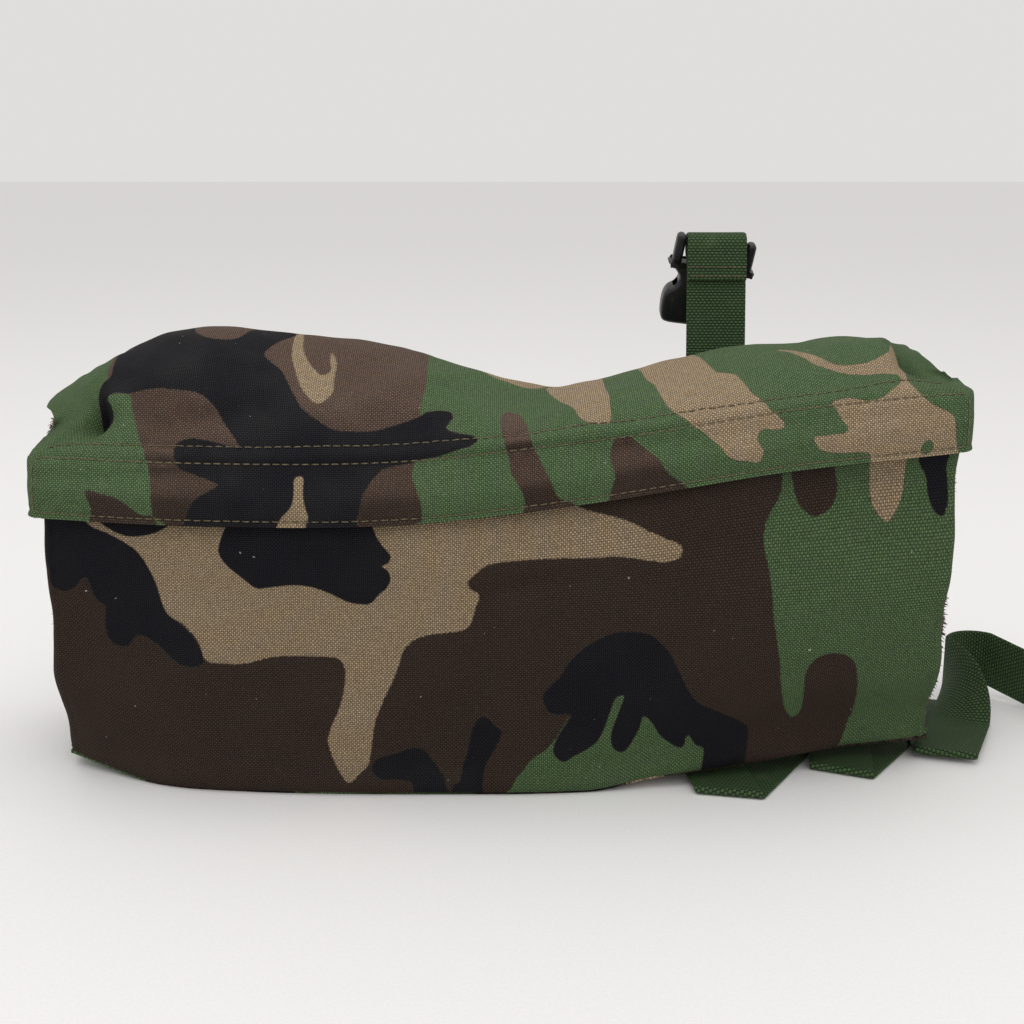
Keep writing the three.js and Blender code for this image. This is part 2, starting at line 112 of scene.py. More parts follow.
crest_z = along([
    (-192, 137), (-165, 159), (-133, 174), (-92, 175), (-42, 168), (-12, 160), (15, 153), (42, 157),
    (67, 163), (100, 169), (146, 172), (172, 164.5), (192, 143),
])
seam_z = along([(-180, 136), (-100, 139.5), (-26, 143), (38, 149), (68, 152), (123, 159), (180, 161)])
seam_y = along([(-180, -37), (-120, -43.5), (0, -46.5), (120, -43), (180, -35)])
hem_z = along([(-180, 111), (-77, 110), (-28, 112), (38, 120), (112, 131), (180, 136)])
hem_y = along([(-180, -42), (-120, -51), (0, -55), (120, -49), (180, -39)])
foot_y = along([(-176, -21), (-120, -43), (0, -48), (60, -43), (100, -35), (140, -22), (176, -17)])
belly_y = along([(-176, -38), (-120, -49), (0, -53.5), (100, -47.5), (176, -35)])
lower_row = along([(-180, 24), (0, 24.2), (60, 23.4), (180, 23.2)])
upper_row = along([(-180, 30.4), (0, 31.2), (60, 30.2), (110, 29.6), (150, 32.6), (180, 33)])
top_end_left = along([(0, 178), (0.375, 174), (0.47, 169), (0.55, 172), (0.62, 176), (1, 178)])
top_end_right = along([(0, 178), (0.375, 177), (0.46, 172), (0.55, 167), (0.7, 166), (0.85, 170), (1, 178)])
lift_z = along([(-186, 8), (-150, 1.5), (-135, 0), (34, 0), (62, 4.6), (100, 7.4), (140, 9), (186, 11)])


def base_z(x):
    return np.maximum(0, lift_z(x))


def wall_y(x):
    return WALL_Y + BOW * (np.abs(x) / TUBE_HALF) ** 2.5


def back_y(x):
    return BACK_Y + BACK_BOW * (np.maximum(0, np.abs(x) - 115) / 70) ** 2


def on_profile(points, v):
    """A point on a smooth line through (y, z) points, each an array along the muff, at v from 0 to 1."""
    table = np.array([np.broadcast_arrays(y, z, v)[:2] for y, z in points])
    last = len(points) - 1
    i = np.clip(np.floor(v * last).astype(int), 0, last - 1)
    f = v * last - i

    def pick(k):
        k = np.clip(k, 0, last)
        return np.take_along_axis(table, np.broadcast_to(k, (1, 2) + k.shape), 0)[0]

    a, b, c, d = pick(i - 1), pick(i), pick(i + 1), pick(i + 2)
    ta, tb = (c - a) / 2, (d - b) / 2
    return b + ta * f + (3 * (c - b) - 2 * ta - tb) * f * f + (2 * (b - c) + ta + tb) * f * f * f


# ---------------------------------------------------------------- grids and closed meshes
def smooth_step(t):
    """Rises from 0 to 1 with level ends: 3 t squared less 2 t cubed."""
    t = np.clip(t, 0, 1)
    return t * t * (3 - 2 * t)


def normals_of(grid):
    """Unit normals of a grid of points: the cross product of its two central differences."""
    du = np.gradient(grid, axis=0)
    dv = np.gradient(grid, axis=1)
    n = np.cross(du, dv)
    return n / np.maximum(np.linalg.norm(n, axis=-1, keepdims=True), 1e-9)


def arc(grid, axis):
    """Length along a grid's lines from their first points."""
    step = np.linalg.norm(np.diff(grid, axis=axis), axis=-1)
    start = np.zeros_like(np.take(step, [0], axis))
    return np.concatenate([start, np.cumsum(step, axis)], axis)


def sample(values, a, b):
    """Values of a grid at fractional rows a and columns b, from its four nearest points."""
    i = np.clip(np.floor(a).astype(int), 0, values.shape[0] - 2)
    j = np.clip(np.floor(b).astype(int), 0, values.shape[1] - 2)
    f, g = (a - i)[..., None], (b - j)[..., None]
    low = values[i, j] * (1 - f) + values[i + 1, j] * f
    high = values[i, j + 1] * (1 - f) + values[i + 1, j + 1] * f
    return low * (1 - g) + high * g


def grid_quads(rows, columns, wrap=False):
    """Corner numbers of the quads of a grid, whose columns close on themselves if it wraps."""
    i, j = np.meshgrid(np.arange(rows - 1), np.arange(columns if wrap else columns - 1), indexing="ij")
    k = (j + 1) % columns
    low, high = i * columns, (i + 1) * columns
    return np.stack([low + j, high + j, high + k, low + k], -1).reshape(-1, 4)


def volume_of(points, quads):
    """Six times the volume inside the quads: the sum of each half quad's triple product."""
    a, b, c, d = (points[quads[:, k]] for k in range(4))
    return float((a * np.cross(b, c)).sum() + (a * np.cross(c, d)).sum())


def make_piece(name, points, quads, material, uv=None, fields=None, sharp=50.0):
    """A mesh object in metres from points in millimetres, with its faces turned outward."""
    points = np.asarray(points, float)
    quads = np.asarray(quads, int)
    if volume_of(points - points.mean(0), quads) < 0:
        quads = quads[:, ::-1]
    mesh = bpy.data.meshes.new(name)
    mesh.vertices.add(len(points))
    mesh.vertices.foreach_set("co", (points * MM).astype(np.float32).ravel())
    mesh.loops.add(quads.size)
    mesh.loops.foreach_set("vertex_index", quads.astype(np.int32).ravel())
    mesh.polygons.add(len(quads))
    mesh.polygons.foreach_set("loop_start", np.arange(0, quads.size, 4, dtype=np.int32))
    mesh.polygons.foreach_set("use_smooth", np.ones(len(quads), bool))
    if uv is not None:
        layer = mesh.uv_layers.new(name="cloth")
        layer.data.foreach_set("uv", np.asarray(uv, np.float32)[quads.ravel()].ravel())
    for key, values in (fields or {}).items():
        layer = mesh.attributes.new(key, "FLOAT", "POINT")
        layer.data.foreach_set("value", values.astype(np.float32).ravel())
    mesh.update(calc_edges=True)
    mesh.validate()
    mesh.set_sharp_from_angle(angle=math.radians(sharp))
    mesh.materials.append(material)
    piece = bpy.data.objects.new(name, mesh)
    bpy.context.scene.collection.objects.link(piece)
    return piece


def shell(name, outer, inner, material, uv=None, fields=None):
    """A closed body between two grids of the same size, its four rims closed by strips."""
    rows, columns = outer.shape[:2]
    count = rows * columns
    points = np.concatenate([outer.reshape(-1, 3), inner.reshape(-1, 3)])
    face = grid_quads(rows, columns)
    index = np.arange(count).reshape(rows, columns)
    quads = [face, face[:, ::-1] + count]
    for line, turned in ((index[:, 0], False), (index[:, -1], True), (index[0], True), (index[-1], False)):
        strip = np.stack([line[:-1], line[:-1] + count, line[1:] + count, line[1:]], -1)
        quads.append(strip[:, ::-1] if turned else strip)
    twice = None if uv is None else np.tile(uv.reshape(-1, 2), (2, 1))
    both = {key: np.tile(values.ravel(), 2) for key, values in (fields or {}).items()}
    return make_piece(name, points, np.concatenate(quads), material, twice, both)


def ring_sleeve(name, outer, inner, material, uv=None):
    """A closed sleeve between two grids whose columns run round a loop."""
    rows, columns = outer.shape[:2]
    count = rows * columns
    points = np.concatenate([outer.reshape(-1, 3), inner.reshape(-1, 3)])
    face = grid_quads(rows, columns, wrap=True)
    quads = [face, face[:, ::-1] + count]
    j = np.arange(columns)
    k = (j + 1) % columns
    for row, turned in ((0, True), (rows - 1, False)):
        start = row * columns
        strip = np.stack([start + j, start + j + count, start + k + count, start + k], -1)
        quads.append(strip[:, ::-1] if turned else strip)
    twice = None if uv is None else np.tile(uv.reshape(-1, 2), (2, 1))
    return make_piece(name, points, np.concatenate(quads), material, twice)


def joined(parts):
    """Several lists of points and quads as one."""
    points, quads, start = [], [], 0
    for p, q in parts:
        points.append(p)
        quads.append(q + start)
        start += len(p)
    return np.concatenate(points), np.concatenate(quads)


def waves(x, y, seed, scale, count=9):
    """Soft irregular relief of about -1 to 1: a sum of sine waves with seeded directions and phases."""
    rng = np.random.default_rng(seed)
    total = np.zeros(np.broadcast(x, y).shape)
    for _ in range(count):
        angle, phase, stretch = rng.uniform(0, 2 * np.pi), rng.uniform(0, 2 * np.pi), rng.uniform(0.6, 1.7)
        wave = 2 * np.pi * stretch / scale
        total += np.sin(wave * (x * np.cos(angle) + y * np.sin(angle)) + phase)
    return total / count ** 0.5 / 1.4


def creases(x, y, lines):
    """Folds in cloth: a bell curve of each line's height, by distance from it, weaker at its ends."""
    total = np.zeros(np.broadcast(x, y).shape)
    for x0, y0, x1, y1, height, width in lines:
        dx, dy = x1 - x0, y1 - y0
        t = np.clip(((x - x0) * dx + (y - y0) * dy) / (dx * dx + dy * dy), 0, 1)
        distance = np.hypot(x - x0 - t * dx, y - y0 - t * dy)
        fade = 0.35 + 0.65 * np.sin(np.pi * np.clip(t, 0.02, 0.98))
        total += height * fade * np.exp(-((distance / width) ** 2))
    return total


# ---------------------------------------------------------------- woodland print
# Outlines of the print's patches, in millimetres along and up each cloth. They are laid down in order.
POCKET_PRINT = [
    ("tan", [
        (-172, 130), (-164, 114.5), (-157, 108), (-150, 105), (-142, 101), (-136, 96), (-131, 86),
        (-127, 75), (-120, 71), (-114.5, 64), (-112, 57), (-105, 55.6), (-97, 55.6), (-90, 57.5),
        (-82, 58.7), (-70, 58.7), (-61, 58), (-58.6, 53), (-59.5, 44), (-62, 36), (-65, 29), (-66, 23),
        (-63.5, 15), (-60.5, 8), (-58, 6), (-55, 9.5), (-51, 14), (-49.5, 20.5), (-48.4, 28), (-47, 34.5),
        (-44, 42), (-40, 50.5), (-37.7, 57), (-36, 62), (-31.5, 66.5), (-24.5, 68.7), (-16, 69.5),
        (-11, 72), (-9, 78), (-7.3, 83.7), (-10.6, 86.4), (-11.6, 89), (-8.5, 92.3), (-4, 95.5), (4, 96.8),
        (18.6, 97.8), (34, 98.2), (46, 98.5), (56.5, 96.8), (63.6, 96), (68, 97.6), (68.7, 102),
        (62.5, 105), (55.4, 108.3), (49, 111.6), (42, 113.7), (28, 118), (10, 130),
    ]),
    ("black", [
        (-205, 124), (-174, 120), (-164, 114.5), (-155, 107.5), (-148, 105), (-140, 101), (-135, 96.5),
        (-130.5, 87), (-127, 76), (-122, 71.5), (-116.5, 66), (-113, 59), (-113.5, 55), (-117.5, 54),
        (-122, 55), (-126, 58), (-130.5, 62.5), (-136, 65.5), (-139.5, 65), (-141, 62.5), (-143.5, 60.5),
        (-147.5, 60.8), (-150.5, 63.5), (-151.5, 69), (-151, 76), (-153.5, 77.5), (-155.5, 80.5),
        (-157, 87), (-159.5, 87), (-161.5, 84), (-166, 81.5), (-170, 81.5), (-173, 84), (-174, 91),
        (-180, 96), (-205, 100),
    ]),
    # This black patch under the flap's hem is partly print and partly painted shadow cast by the hem.
    ("black", [
        (-156, 120), (-155, 113), (-150, 108.5), (-141, 104.5), (-131, 105.5), (-124, 109), (-118, 113),
        (-118, 120),
    ]),
    ("black", [
        (-102, 118), (-101.5, 111), (-104, 104.5), (-105, 99), (-101.5, 94), (-96, 89.5), (-91, 86),
        (-85.5, 86.5), (-77, 87.5), (-69.5, 86.5), (-63, 84), (-57, 81), (-52, 80), (-48, 80.5), (-45, 84),
        (-42, 86.5), (-40.5, 90), (-41.5, 93), (-44, 95), (-41, 96.5), (-40.5, 99), (-43, 102),
        (-45.5, 105.5), (-48, 110), (-54, 112), (-60, 118),
    ]),
    ("black", [
        (-49.5, 13), (-47, 17), (-40, 19), (-34, 21), (-29.5, 20), (-26, 15.5), (-23, 11), (-21, 6),
        (-19, -12), (-34, -12), (-33.5, 4), (-36, 7), (-41, 7.6), (-46, 7.6), (-48.5, 10),
    ]),
    ("black", [
        (-14, 13), (-12, 20), (-10.5, 28), (-8, 33), (-5, 34), (-2, 31), (1, 28), (0, 24), (-3, 18),
        (-5.5, 13), (-6.5, 4), (-6, -12), (-20, -12), (-18, 4), (-15.5, 6),
    ]),
    ("green", [
        (4, -12), (6, 6), (9, 11), (13, 17), (18, 20.5), (22, 26), (28, 36), (40, 44), (50, 46), (60, 36),
        (74, 26), (78, 20), (84, 10), (84, -12),
    ]),
    ("black", [
        (17.6, 39.7), (16.5, 43), (18.6, 46.2), (23.7, 51.5), (27.8, 58), (35, 64), (42, 67.6), (49, 68.4),
        (56.4, 67.8), (60.5, 65), (65.6, 59), (68.7, 52.6), (72.3, 45), (77, 38.7), (84, 34.4), (92, 30),
        (97.3, 25.8), (98.3, 21.5), (97.5, 12), (97, -12), (80, -12), (80, 10), (80.4, 14), (80, 17.8),
        (77, 19.4), (73.8, 24.2), (72.8, 23), (72.3, 19.4), (70.7, 18.3), (66.6, 21), (62.5, 24.7),
        (59.5, 30), (56.4, 33.3), (55.2, 32.2), (54.4, 28), (51.3, 21.5), (48.7, 18.3), (45.7, 18.8),
        (43.6, 22), (43.6, 27), (45.7, 33.3), (48.2, 41.3), (47.2, 42.4), (44.7, 41.3), (43, 36.5),
        (41, 30), (38.5, 24.2), (35, 21), (28.8, 17.8), (25.2, 15.3), (22.2, 17.2), (21, 21), (23.7, 28),
        (27.8, 35.5), (22.7, 35.5), (19, 37),
    ]),
    ("green", [
        (106, 128), (105, 120), (101, 113), (99.5, 106), (100, 100), (102, 93), (103.5, 84.5), (105, 71.5),
        (107, 62), (109, 51.5), (110.5, 41), (112.5, 32.5), (116, 27), (119, 28), (120, 33.5), (119.5, 41),
        (119.5, 48), (122.5, 53.5), (126.5, 55.5), (131.5, 56), (136, 54.5), (139, 51), (141, 44.5),
        (142, 36), (142, 26), (140, 18), (139, -12), (215, -12), (215, 150), (106, 150),
    ]),
    ("brown", [
        (104, 140), (109, 130), (111, 121), (114, 115), (118.5, 112), (123.5, 113.5), (127, 118),
        (127.5, 124), (126, 132), (126, 145),
    ]),
    ("tan", [
        (141, 142), (140, 126), (140.5, 118), (142.5, 113), (146, 109.5), (148, 108.5), (150.5, 111.5),
        (153, 118), (153.5, 126), (153.5, 142),
    ]),
    ("black", [
        (158.5, 146), (158.5, 137), (159, 131), (162, 126), (163, 120), (165, 114), (168, 110.5),
        (170.5, 110.5), (171.5, 116), (171, 123.5), (170, 130), (171.5, 136), (172, 146),
    ]),
]
TOP_PRINT = [
    ("green", [
        (-230, -6), (-128.5, -6), (-128.8, 4), (-129, 8.5), (-129.2, 14), (-130, 20.5), (-131.8, 26.5),
        (-133.6, 31), (-135.6, 36), (-138.2, 45), (-139.6, 51), (-145, 53), (-150, 56), (-153, 64),
        (-156, 80), (-160, 100), (-160, 150), (-230, 150),
    ]),
    ("brown", [
        (-154, 12), (-147, 10.8), (-141.5, 9.5), (-137, 6.2), (-133, 3.6), (-129, 3), (-128, -4),
        (-152, -4), (-152.5, 5),
    ]),
    ("green", [
        (-27, 150), (-28, 110), (-28.4, 80), (-28, 62), (-29, 52), (-29.3, 46), (-30, 30), (-31, 24),
        (-31.8, 19), (-30.2, 13), (-28.8, 9.3), (-28.2, 6), (-28, 1), (-28, -6), (230, -6), (230, 150),
    ]),
    ("brown", [
        (3, 47), (1, 43), (1, 35), (2.2, 27.6), (3.8, 22.1), (4.6, 16.2), (7, 11.1), (9, 7.3), (9.8, 3.2),
        (10, -6), (34, -6), (28, 0.7), (24, 2.5), (21.2, 5.5), (19.6, 10), (17.3, 14.8), (15, 20.2),
        (12.7, 25.3), (11, 33), (9.5, 40), (7, 46),
    ]),
    ("brown", [
        (44, 23.5), (42.4, 22.3), (41.5, 20), (41.2, 16.3), (42.2, 12.4), (42.9, 8.6), (41.7, 4.9),
        (40.9, 1), (40, -6), (76, -6), (70, 0), (67.5, 2.4), (64.2, 5.5), (61.5, 8.4), (59.7, 11.9),
        (56.8, 15.3), (53.3, 18.8), (51, 21), (49.3, 22.8), (46.5, 23.8),
    ]),
    # The left lobe of this black patch, around the dent at c -156, s 43, is partly print and partly painted
    # shadow of the fold.
    ("black", [
        (-153, 39), (-158, 41.5), (-160, 46), (-159, 52), (-155, 58), (-150, 62), (-151, 70), (-153, 85),
        (-155, 110), (-155, 150), (-78, 150), (-80, 100), (-82, 92), (-86.5, 85), (-91, 76), (-87, 70),
        (-83.3, 66), (-78.2, 55), (-73.7, 46.5), (-67.3, 41), (-61.2, 37.2), (-54.7, 36.8), (-45.2, 37.3),
        (-35.7, 40.3), (-29.5, 42.7), (-26.4, 44.7), (-22.5, 45.4), (-18.7, 45), (-17.3, 43.3), (-17.4, 41),
        (-19, 38.2), (-19.8, 36.9), (-18, 35.2), (-14.2, 34), (-9.8, 32.5), (-7.8, 31.2), (-8, 29.8),
        (-10, 27.8), (-14.2, 27), (-17.7, 26.2), (-23, 25), (-29.2, 24.4), (-32.7, 23.4), (-36.2, 23),
        (-39.6, 22.5), (-42.6, 21.7), (-45, 19.8), (-47, 17.2), (-48.6, 14.7), (-50.2, 12), (-51, 8.7),
        (-51.6, 5.2), (-53, 2), (-54, -4), (-117, -4), (-116.5, 1.8), (-115, 6), (-112.5, 10),
        (-108.6, 12.8), (-104.1, 16), (-108.5, 18.3), (-113.2, 20), (-118.2, 21.8), (-120, 24.5),
        (-120.8, 29.5), (-118.9, 32.5), (-114.7, 34), (-110.3, 33.5), (-104.8, 32.5), (-100.3, 31.5),
        (-96, 30.5), (-98.8, 35), (-102.4, 40), (-106.2, 46.5), (-111, 51.5), (-115, 53.4), (-120.4, 53.6),
        (-128.7, 53.6), (-135.5, 52.5), (-140, 51.5), (-146, 52.5), (-149.5, 51), (-147.5, 47),
        (-147, 42.5), (-149.8, 40),
    ]),
    ("tan", [
        (-83, -4), (-82, 1), (-80, 4.5), (-77.5, 7), (-76, 10), (-75.5, 14), (-75.6, 18.5), (-73.8, 19.8),
        (-72, 19), (-72, 13), (-71.2, 8.3), (-70.2, 4.2), (-71.5, 0), (-71.5, -4),
    ]),
    ("tan", [
        (-81, 97), (-80.7, 80), (-79.3, 71), (-77.4, 64.5), (-75.3, 57.7), (-72.7, 53.3), (-70, 49.3),
        (-66.8, 48.3), (-64.3, 51.3), (-62.8, 55), (-62.8, 60), (-63, 65.5), (-62.7, 72), (-63.7, 78.5),
        (-65.4, 82.5), (-65.6, 76), (-64.7, 70), (-66.2, 66), (-68.4, 65.5), (-70.7, 68.3), (-72.9, 72),
        (-75.3, 77.5), (-76.9, 83.5), (-78, 95), (-79, 100),
    ]),
    ("brown", [(-121, 93), (-117, 87), (-110, 84), (-104, 85.5), (-100, 92), (-99, 105), (-120, 105)]),
    ("tan", [(-8, 100), (-4, 90), (2, 82), (8, 78), (14, 80), (19, 88), (19, 100), (6, 112)]),
    ("tan", [
        (19, 84), (19.5, 76), (22.8, 62), (26, 50.5), (28.3, 42.5), (30, 35.5), (31.5, 33), (34.5, 30.8),
        (38.5, 29.8), (41, 30.2), (42, 33), (42, 40.5), (42.2, 50), (41.5, 62), (41.3, 75), (40.5, 88),
        (36, 96), (25, 94),
    ]),
    ("tan", [
        (54, 100), (55, 92), (56.3, 68), (57.2, 60), (59.3, 54.8), (60.1, 47.7), (61.2, 40), (62.6, 34.1),
        (65, 30.8), (67, 27.9), (69.6, 25.3), (71.8, 23.1), (75.2, 20.5), (77.9, 17.6), (81.2, 14),
        (83.8, 10.2), (87.1, 7.7), (90, 6.9), (92.7, 6.2), (95.5, 5.3), (96.9, 6.6), (97.5, 9.6),
        (96.2, 12), (95.3, 14.5), (95.8, 16.4), (97.8, 17.8), (100.8, 17), (103.8, 16.7), (105.5, 17.5),
        (105.2, 19.2), (102.8, 22.3), (99.7, 25.5), (97.8, 29.8), (94.8, 33.8), (93.1, 39), (91.4, 46),
        (90, 50.4), (84, 55.5), (82.9, 61.3), (81.5, 69), (80, 76), (79, 92), (78, 104), (60, 108),
    ]),
    ("tan", [
        (110, 70.5), (114.9, 66.5), (117.3, 61), (120.1, 56.5), (123.7, 52.2), (127.4, 48.3), (132.6, 46.4),
        (139.2, 46.2), (143.4, 47.8), (147.3, 50.2), (151, 53), (154, 56), (158, 58), (158, 38),
        (154.5, 36.5), (150.3, 37), (145.9, 39), (140.2, 39.3), (135.3, 40.2), (129.3, 42.2), (123.9, 45),
        (119.6, 48), (117, 52.7), (114, 58), (112, 63), (109, 68),
    ]),
    ("tan", [
        (151, 37), (151.5, 34.2), (149.7, 30.2), (146, 27.2), (143.3, 25), (138.5, 23.6), (133.9, 24.4),
        (129.5, 25.6), (124.3, 25), (122.8, 24), (124.2, 22.3), (125.5, 19.2), (127.5, 16.2), (128.8, 13.6),
        (127.4, 12.4), (123.3, 12.3), (119.2, 12.3), (116.2, 12.2), (115.8, 11.2), (117, 9.3), (118.7, 7),
        (122, 5.6), (127.6, 4.6), (135, 4.2), (138, 2.6), (141, -6), (171, -6), (171, 6), (170, 13.5),
        (168, 16), (164.7, 18), (161, 20), (158, 23), (155, 29), (156, 36), (154, 39),
    ]),
    ("green", [(157.5, 2), (158, 5), (160, 6.5), (162, 5), (162, 2.5), (160, 1)]),
]
FAR = 14.0  # beyond this a patch's edge no longer matters


def smooth_outline(corners, per_side=5):
    """A closed smooth line through the corners: each point is a cubic of its four nearest corners."""
    p = np.array(corners, float)
    a, b, c, d = np.roll(p, 1, 0), p, np.roll(p, -1, 0), np.roll(p, -2, 0)
    t = (np.arange(per_side) / per_side)[:, None, None]
    square, cube = 2 * a - 5 * b + 4 * c - d, 3 * b - a - 3 * c + d
    line = 0.5 * (2 * b + (c - a) * t + square * t * t + cube * t ** 3)
    return line.transpose(1, 0, 2).reshape(-1, 2)


def inside_distance(x, y, outline):
    """Distance to a closed outline, positive inside: the nearest point of each side, and a crossing count."""
    line = smooth_outline(outline)
    result = np.full(x.shape, -FAR)
    low, high = line.min(0) - FAR, line.max(0) + FAR
    near = (x > low[0]) & (x < high[0]) & (y > low[1]) & (y < high[1])
    px, py = x[near], y[near]
    best = np.full(px.shape, FAR)
    crossings = np.zeros(px.shape, int)
    for (x0, y0), (x1, y1) in zip(line, np.roll(line, -1, 0)):
        dx, dy = x1 - x0, y1 - y0
        t = np.clip(((px - x0) * dx + (py - y0) * dy) / max(dx * dx + dy * dy, 1e-9), 0, 1)
        best = np.minimum(best, np.hypot(px - x0 - t * dx, py - y0 - t * dy))
        cuts = (y0 > py) != (y1 > py)
        crossings += cuts & (px < x0 + (py - y0) * dx / (dy if dy else 1e-9))
    result[near] = np.where(crossings % 2 == 1, best, -best)
    return result


def print_fields(x, y, patches):
    """How far each point lies inside tan, green and black: a later patch cuts into earlier ones."""
    fields = {key: np.full(x.shape, -FAR) for key in ("tan", "green", "black")}
    for colour, outline in patches:
        distance = inside_distance(x, y, outline)
        for key in fields:
            cut = np.minimum(fields[key], -distance)
            fields[key] = np.maximum(fields[key], distance) if key == colour else cut
    return fields


def moved_print(patches, shift_x, shift_y, flip_x=1, flip_y=1):
    """The same print cut from another place of the roll."""
    return [(c, [(flip_x * x + shift_x, flip_y * y + shift_y) for x, y in line]) for c, line in patches]


# ---------------------------------------------------------------- settings that a user may change
def colour_property(name, description, default):
    return bpy.props.FloatVectorProperty(
        name=name, description=description, default=default, size=3, subtype="COLOR", min=0, max=1
    )


def length_property(name, description, default):
    return bpy.props.FloatProperty(name=name, description=description, default=default, unit="LENGTH", min=0)


class MuffColours(bpy.types.PropertyGroup):
    """Colours of the cloth print, thread, webbing, lining and plastic."""

    tan: colour_property("Tan", "Light patches of the print", (0.262, 0.196, 0.124))
    brown: colour_property("Brown", "Ground colour of the print", (0.043, 0.028, 0.021))
    green: colour_property("Green", "Green patches of the print", (0.066, 0.108, 0.048))
    black: colour_property("Black", "Dark patches of the print", (0.0075, 0.0075, 0.0105))
    thread: colour_property("Thread", "Sewing thread", (0.13, 0.105, 0.06))
    webbing: colour_property("Webbing", "Belt webbing", (0.028, 0.058, 0.018))
    pile: colour_property("Pile", "Fur lining of the hand tube", (0.115, 0.066, 0.045))
    wadding: colour_property("Wadding", "Quilted insulation", (0.62, 0.58, 0.50))
    tape: colour_property("Tape", "Hook and loop tapes", (0.022, 0.032, 0.016))
    plastic: colour_property("Plastic", "Moulded buckle", (0.010, 0.0095, 0.012))
    floor: colour_property("Floor", "Ground that the muff stands on", (0.93, 0.92, 0.91))
    wall: colour_property("Wall", "Light around the muff", (0.74, 0.73, 0.72))


class MuffSizes(bpy.types.PropertyGroup):
    """Sizes of the weave, stitches and pile."""

    yarn: length_property("Yarn", "Distance between two yarns of the cloth", 0.00078)
    rib: length_property("Rib", "Distance between two ribs of the webbing", 0.0012)
    stitch: length_property("Stitch", "Length of one stitch", 0.0029)
    pitch: length_property("Stitch pitch", "Distance from one stitch to the next", 0.0037)
    thread: length_property("Thread", "Thickness of the sewing thread", 0.00055)
    tuft: length_property("Tuft", "Length of the pile's longest hairs", 0.0065)


def colours():
    return bpy.context.scene.muff_colours


def sizes():
    return bpy.context.scene.muff_sizes


# ---------------------------------------------------------------- materials
class Finish:
    """A new material and short ways to add its nodes."""

    def __init__(self, name, roughness, specular=0.3):
        self.material = bpy.data.materials.new(name)
        self.material.use_nodes = True
        self.tree = self.material.node_tree
        self.shader = self.tree.nodes["Principled BSDF"]
        self.shader.inputs["Roughness"].default_value = roughness
        self.shader.inputs["Specular IOR Level"].default_value = specular

    def node(self, kind, **settings):
        made = self.tree.nodes.new(kind)
        for key, value in settings.items():
            setattr(made, key, value)
        return made

    def put(self, value, socket):
        if isinstance(value, bpy.types.NodeSocket):
            self.tree.links.new(value, socket)
        else:
            socket.default_value = value

    def math(self, operation, a, b=0.0, c=0.0):
        made = self.node("ShaderNodeMath", operation=operation)
        for value, socket in zip((a, b, c), made.inputs):
            self.put(value, socket)
        return made.outputs[0]

    def ramp(self, value, low, high, out_low=0.0, out_high=1.0):
        made = self.node("ShaderNodeMapRange", interpolation_type="SMOOTHSTEP")
        for item, socket in zip((value, low, high, out_low, out_high), made.inputs):
            self.put(item, socket)
        return made.outputs[0]

    def mix(self, factor, a, b, blend="MIX"):
        made = self.node("ShaderNodeMix", data_type="RGBA", blend_type=blend)
        for item, socket in zip((factor, a, b), (made.inputs[0], made.inputs[6], made.inputs[7])):
            self.put(item, socket)
        return made.outputs[2]

    def attribute(self, name):
        return self.node("ShaderNodeAttribute", attribute_name=name).outputs["Fac"]

    def cloth_uv(self):
        made = self.node("ShaderNodeUVMap", uv_map="cloth")
        apart = self.node("ShaderNodeSeparateXYZ")
        self.put(made.outputs[0], apart.inputs[0])
        return made.outputs[0], apart.outputs[0], apart.outputs[1]

    def object_point(self):
        return self.node("ShaderNodeTexCoord").outputs["Object"]

    def scaled(self, vector, x, y, z=1.0):
        made = self.node("ShaderNodeMapping")
        self.put(vector, made.inputs[0])
        made.inputs["Scale"].default_value = (x, y, z)
        return made.outputs[0]

    def noise(self, vector, scale, detail=3.0, rough=0.55):
        made = self.node("ShaderNodeTexNoise")
        self.put(vector, made.inputs["Vector"])
        made.inputs["Scale"].default_value = scale
        made.inputs["Detail"].default_value = detail
        made.inputs["Roughness"].default_value = rough
        return made.outputs["Fac"]

    def bump(self, height, distance, strength=1.0):
        made = self.node("ShaderNodeBump")
        made.inputs["Strength"].default_value = strength
        made.inputs["Distance"].default_value = distance
        self.put(height, made.inputs["Height"])
        self.put(made.outputs[0], self.shader.inputs["Normal"])

    def toned(self, base, tone):
        """A colour times a grey tone."""
        grey = self.node("ShaderNodeCombineColor")
        for socket in grey.inputs:
            self.put(tone, socket)
        return self.mix(1.0, base, grey.outputs[0], "MULTIPLY")

    def colour(self, value):
        self.put(value, self.shader.inputs["Base Color"])

    def roughness(self, value):
        self.put(value, self.shader.inputs["Roughness"])


def solid_colour(value, gain=1.0):
    return (*[min(1.0, c * gain) for c in value], 1.0)


def weave(f, u, v, pitch):
    """Plain weave: each yarn is a rounded ridge that shows over every second crossing."""
    across, up = (f.math("SINE", f.math("MULTIPLY", way, math.pi / pitch)) for way in (u, v))
    crossing = f.math("MULTIPLY", f.math("ABSOLUTE", across), f.math("ABSOLUTE", up))
    return f.math("SQRT", crossing), f.math("MULTIPLY", across, up)


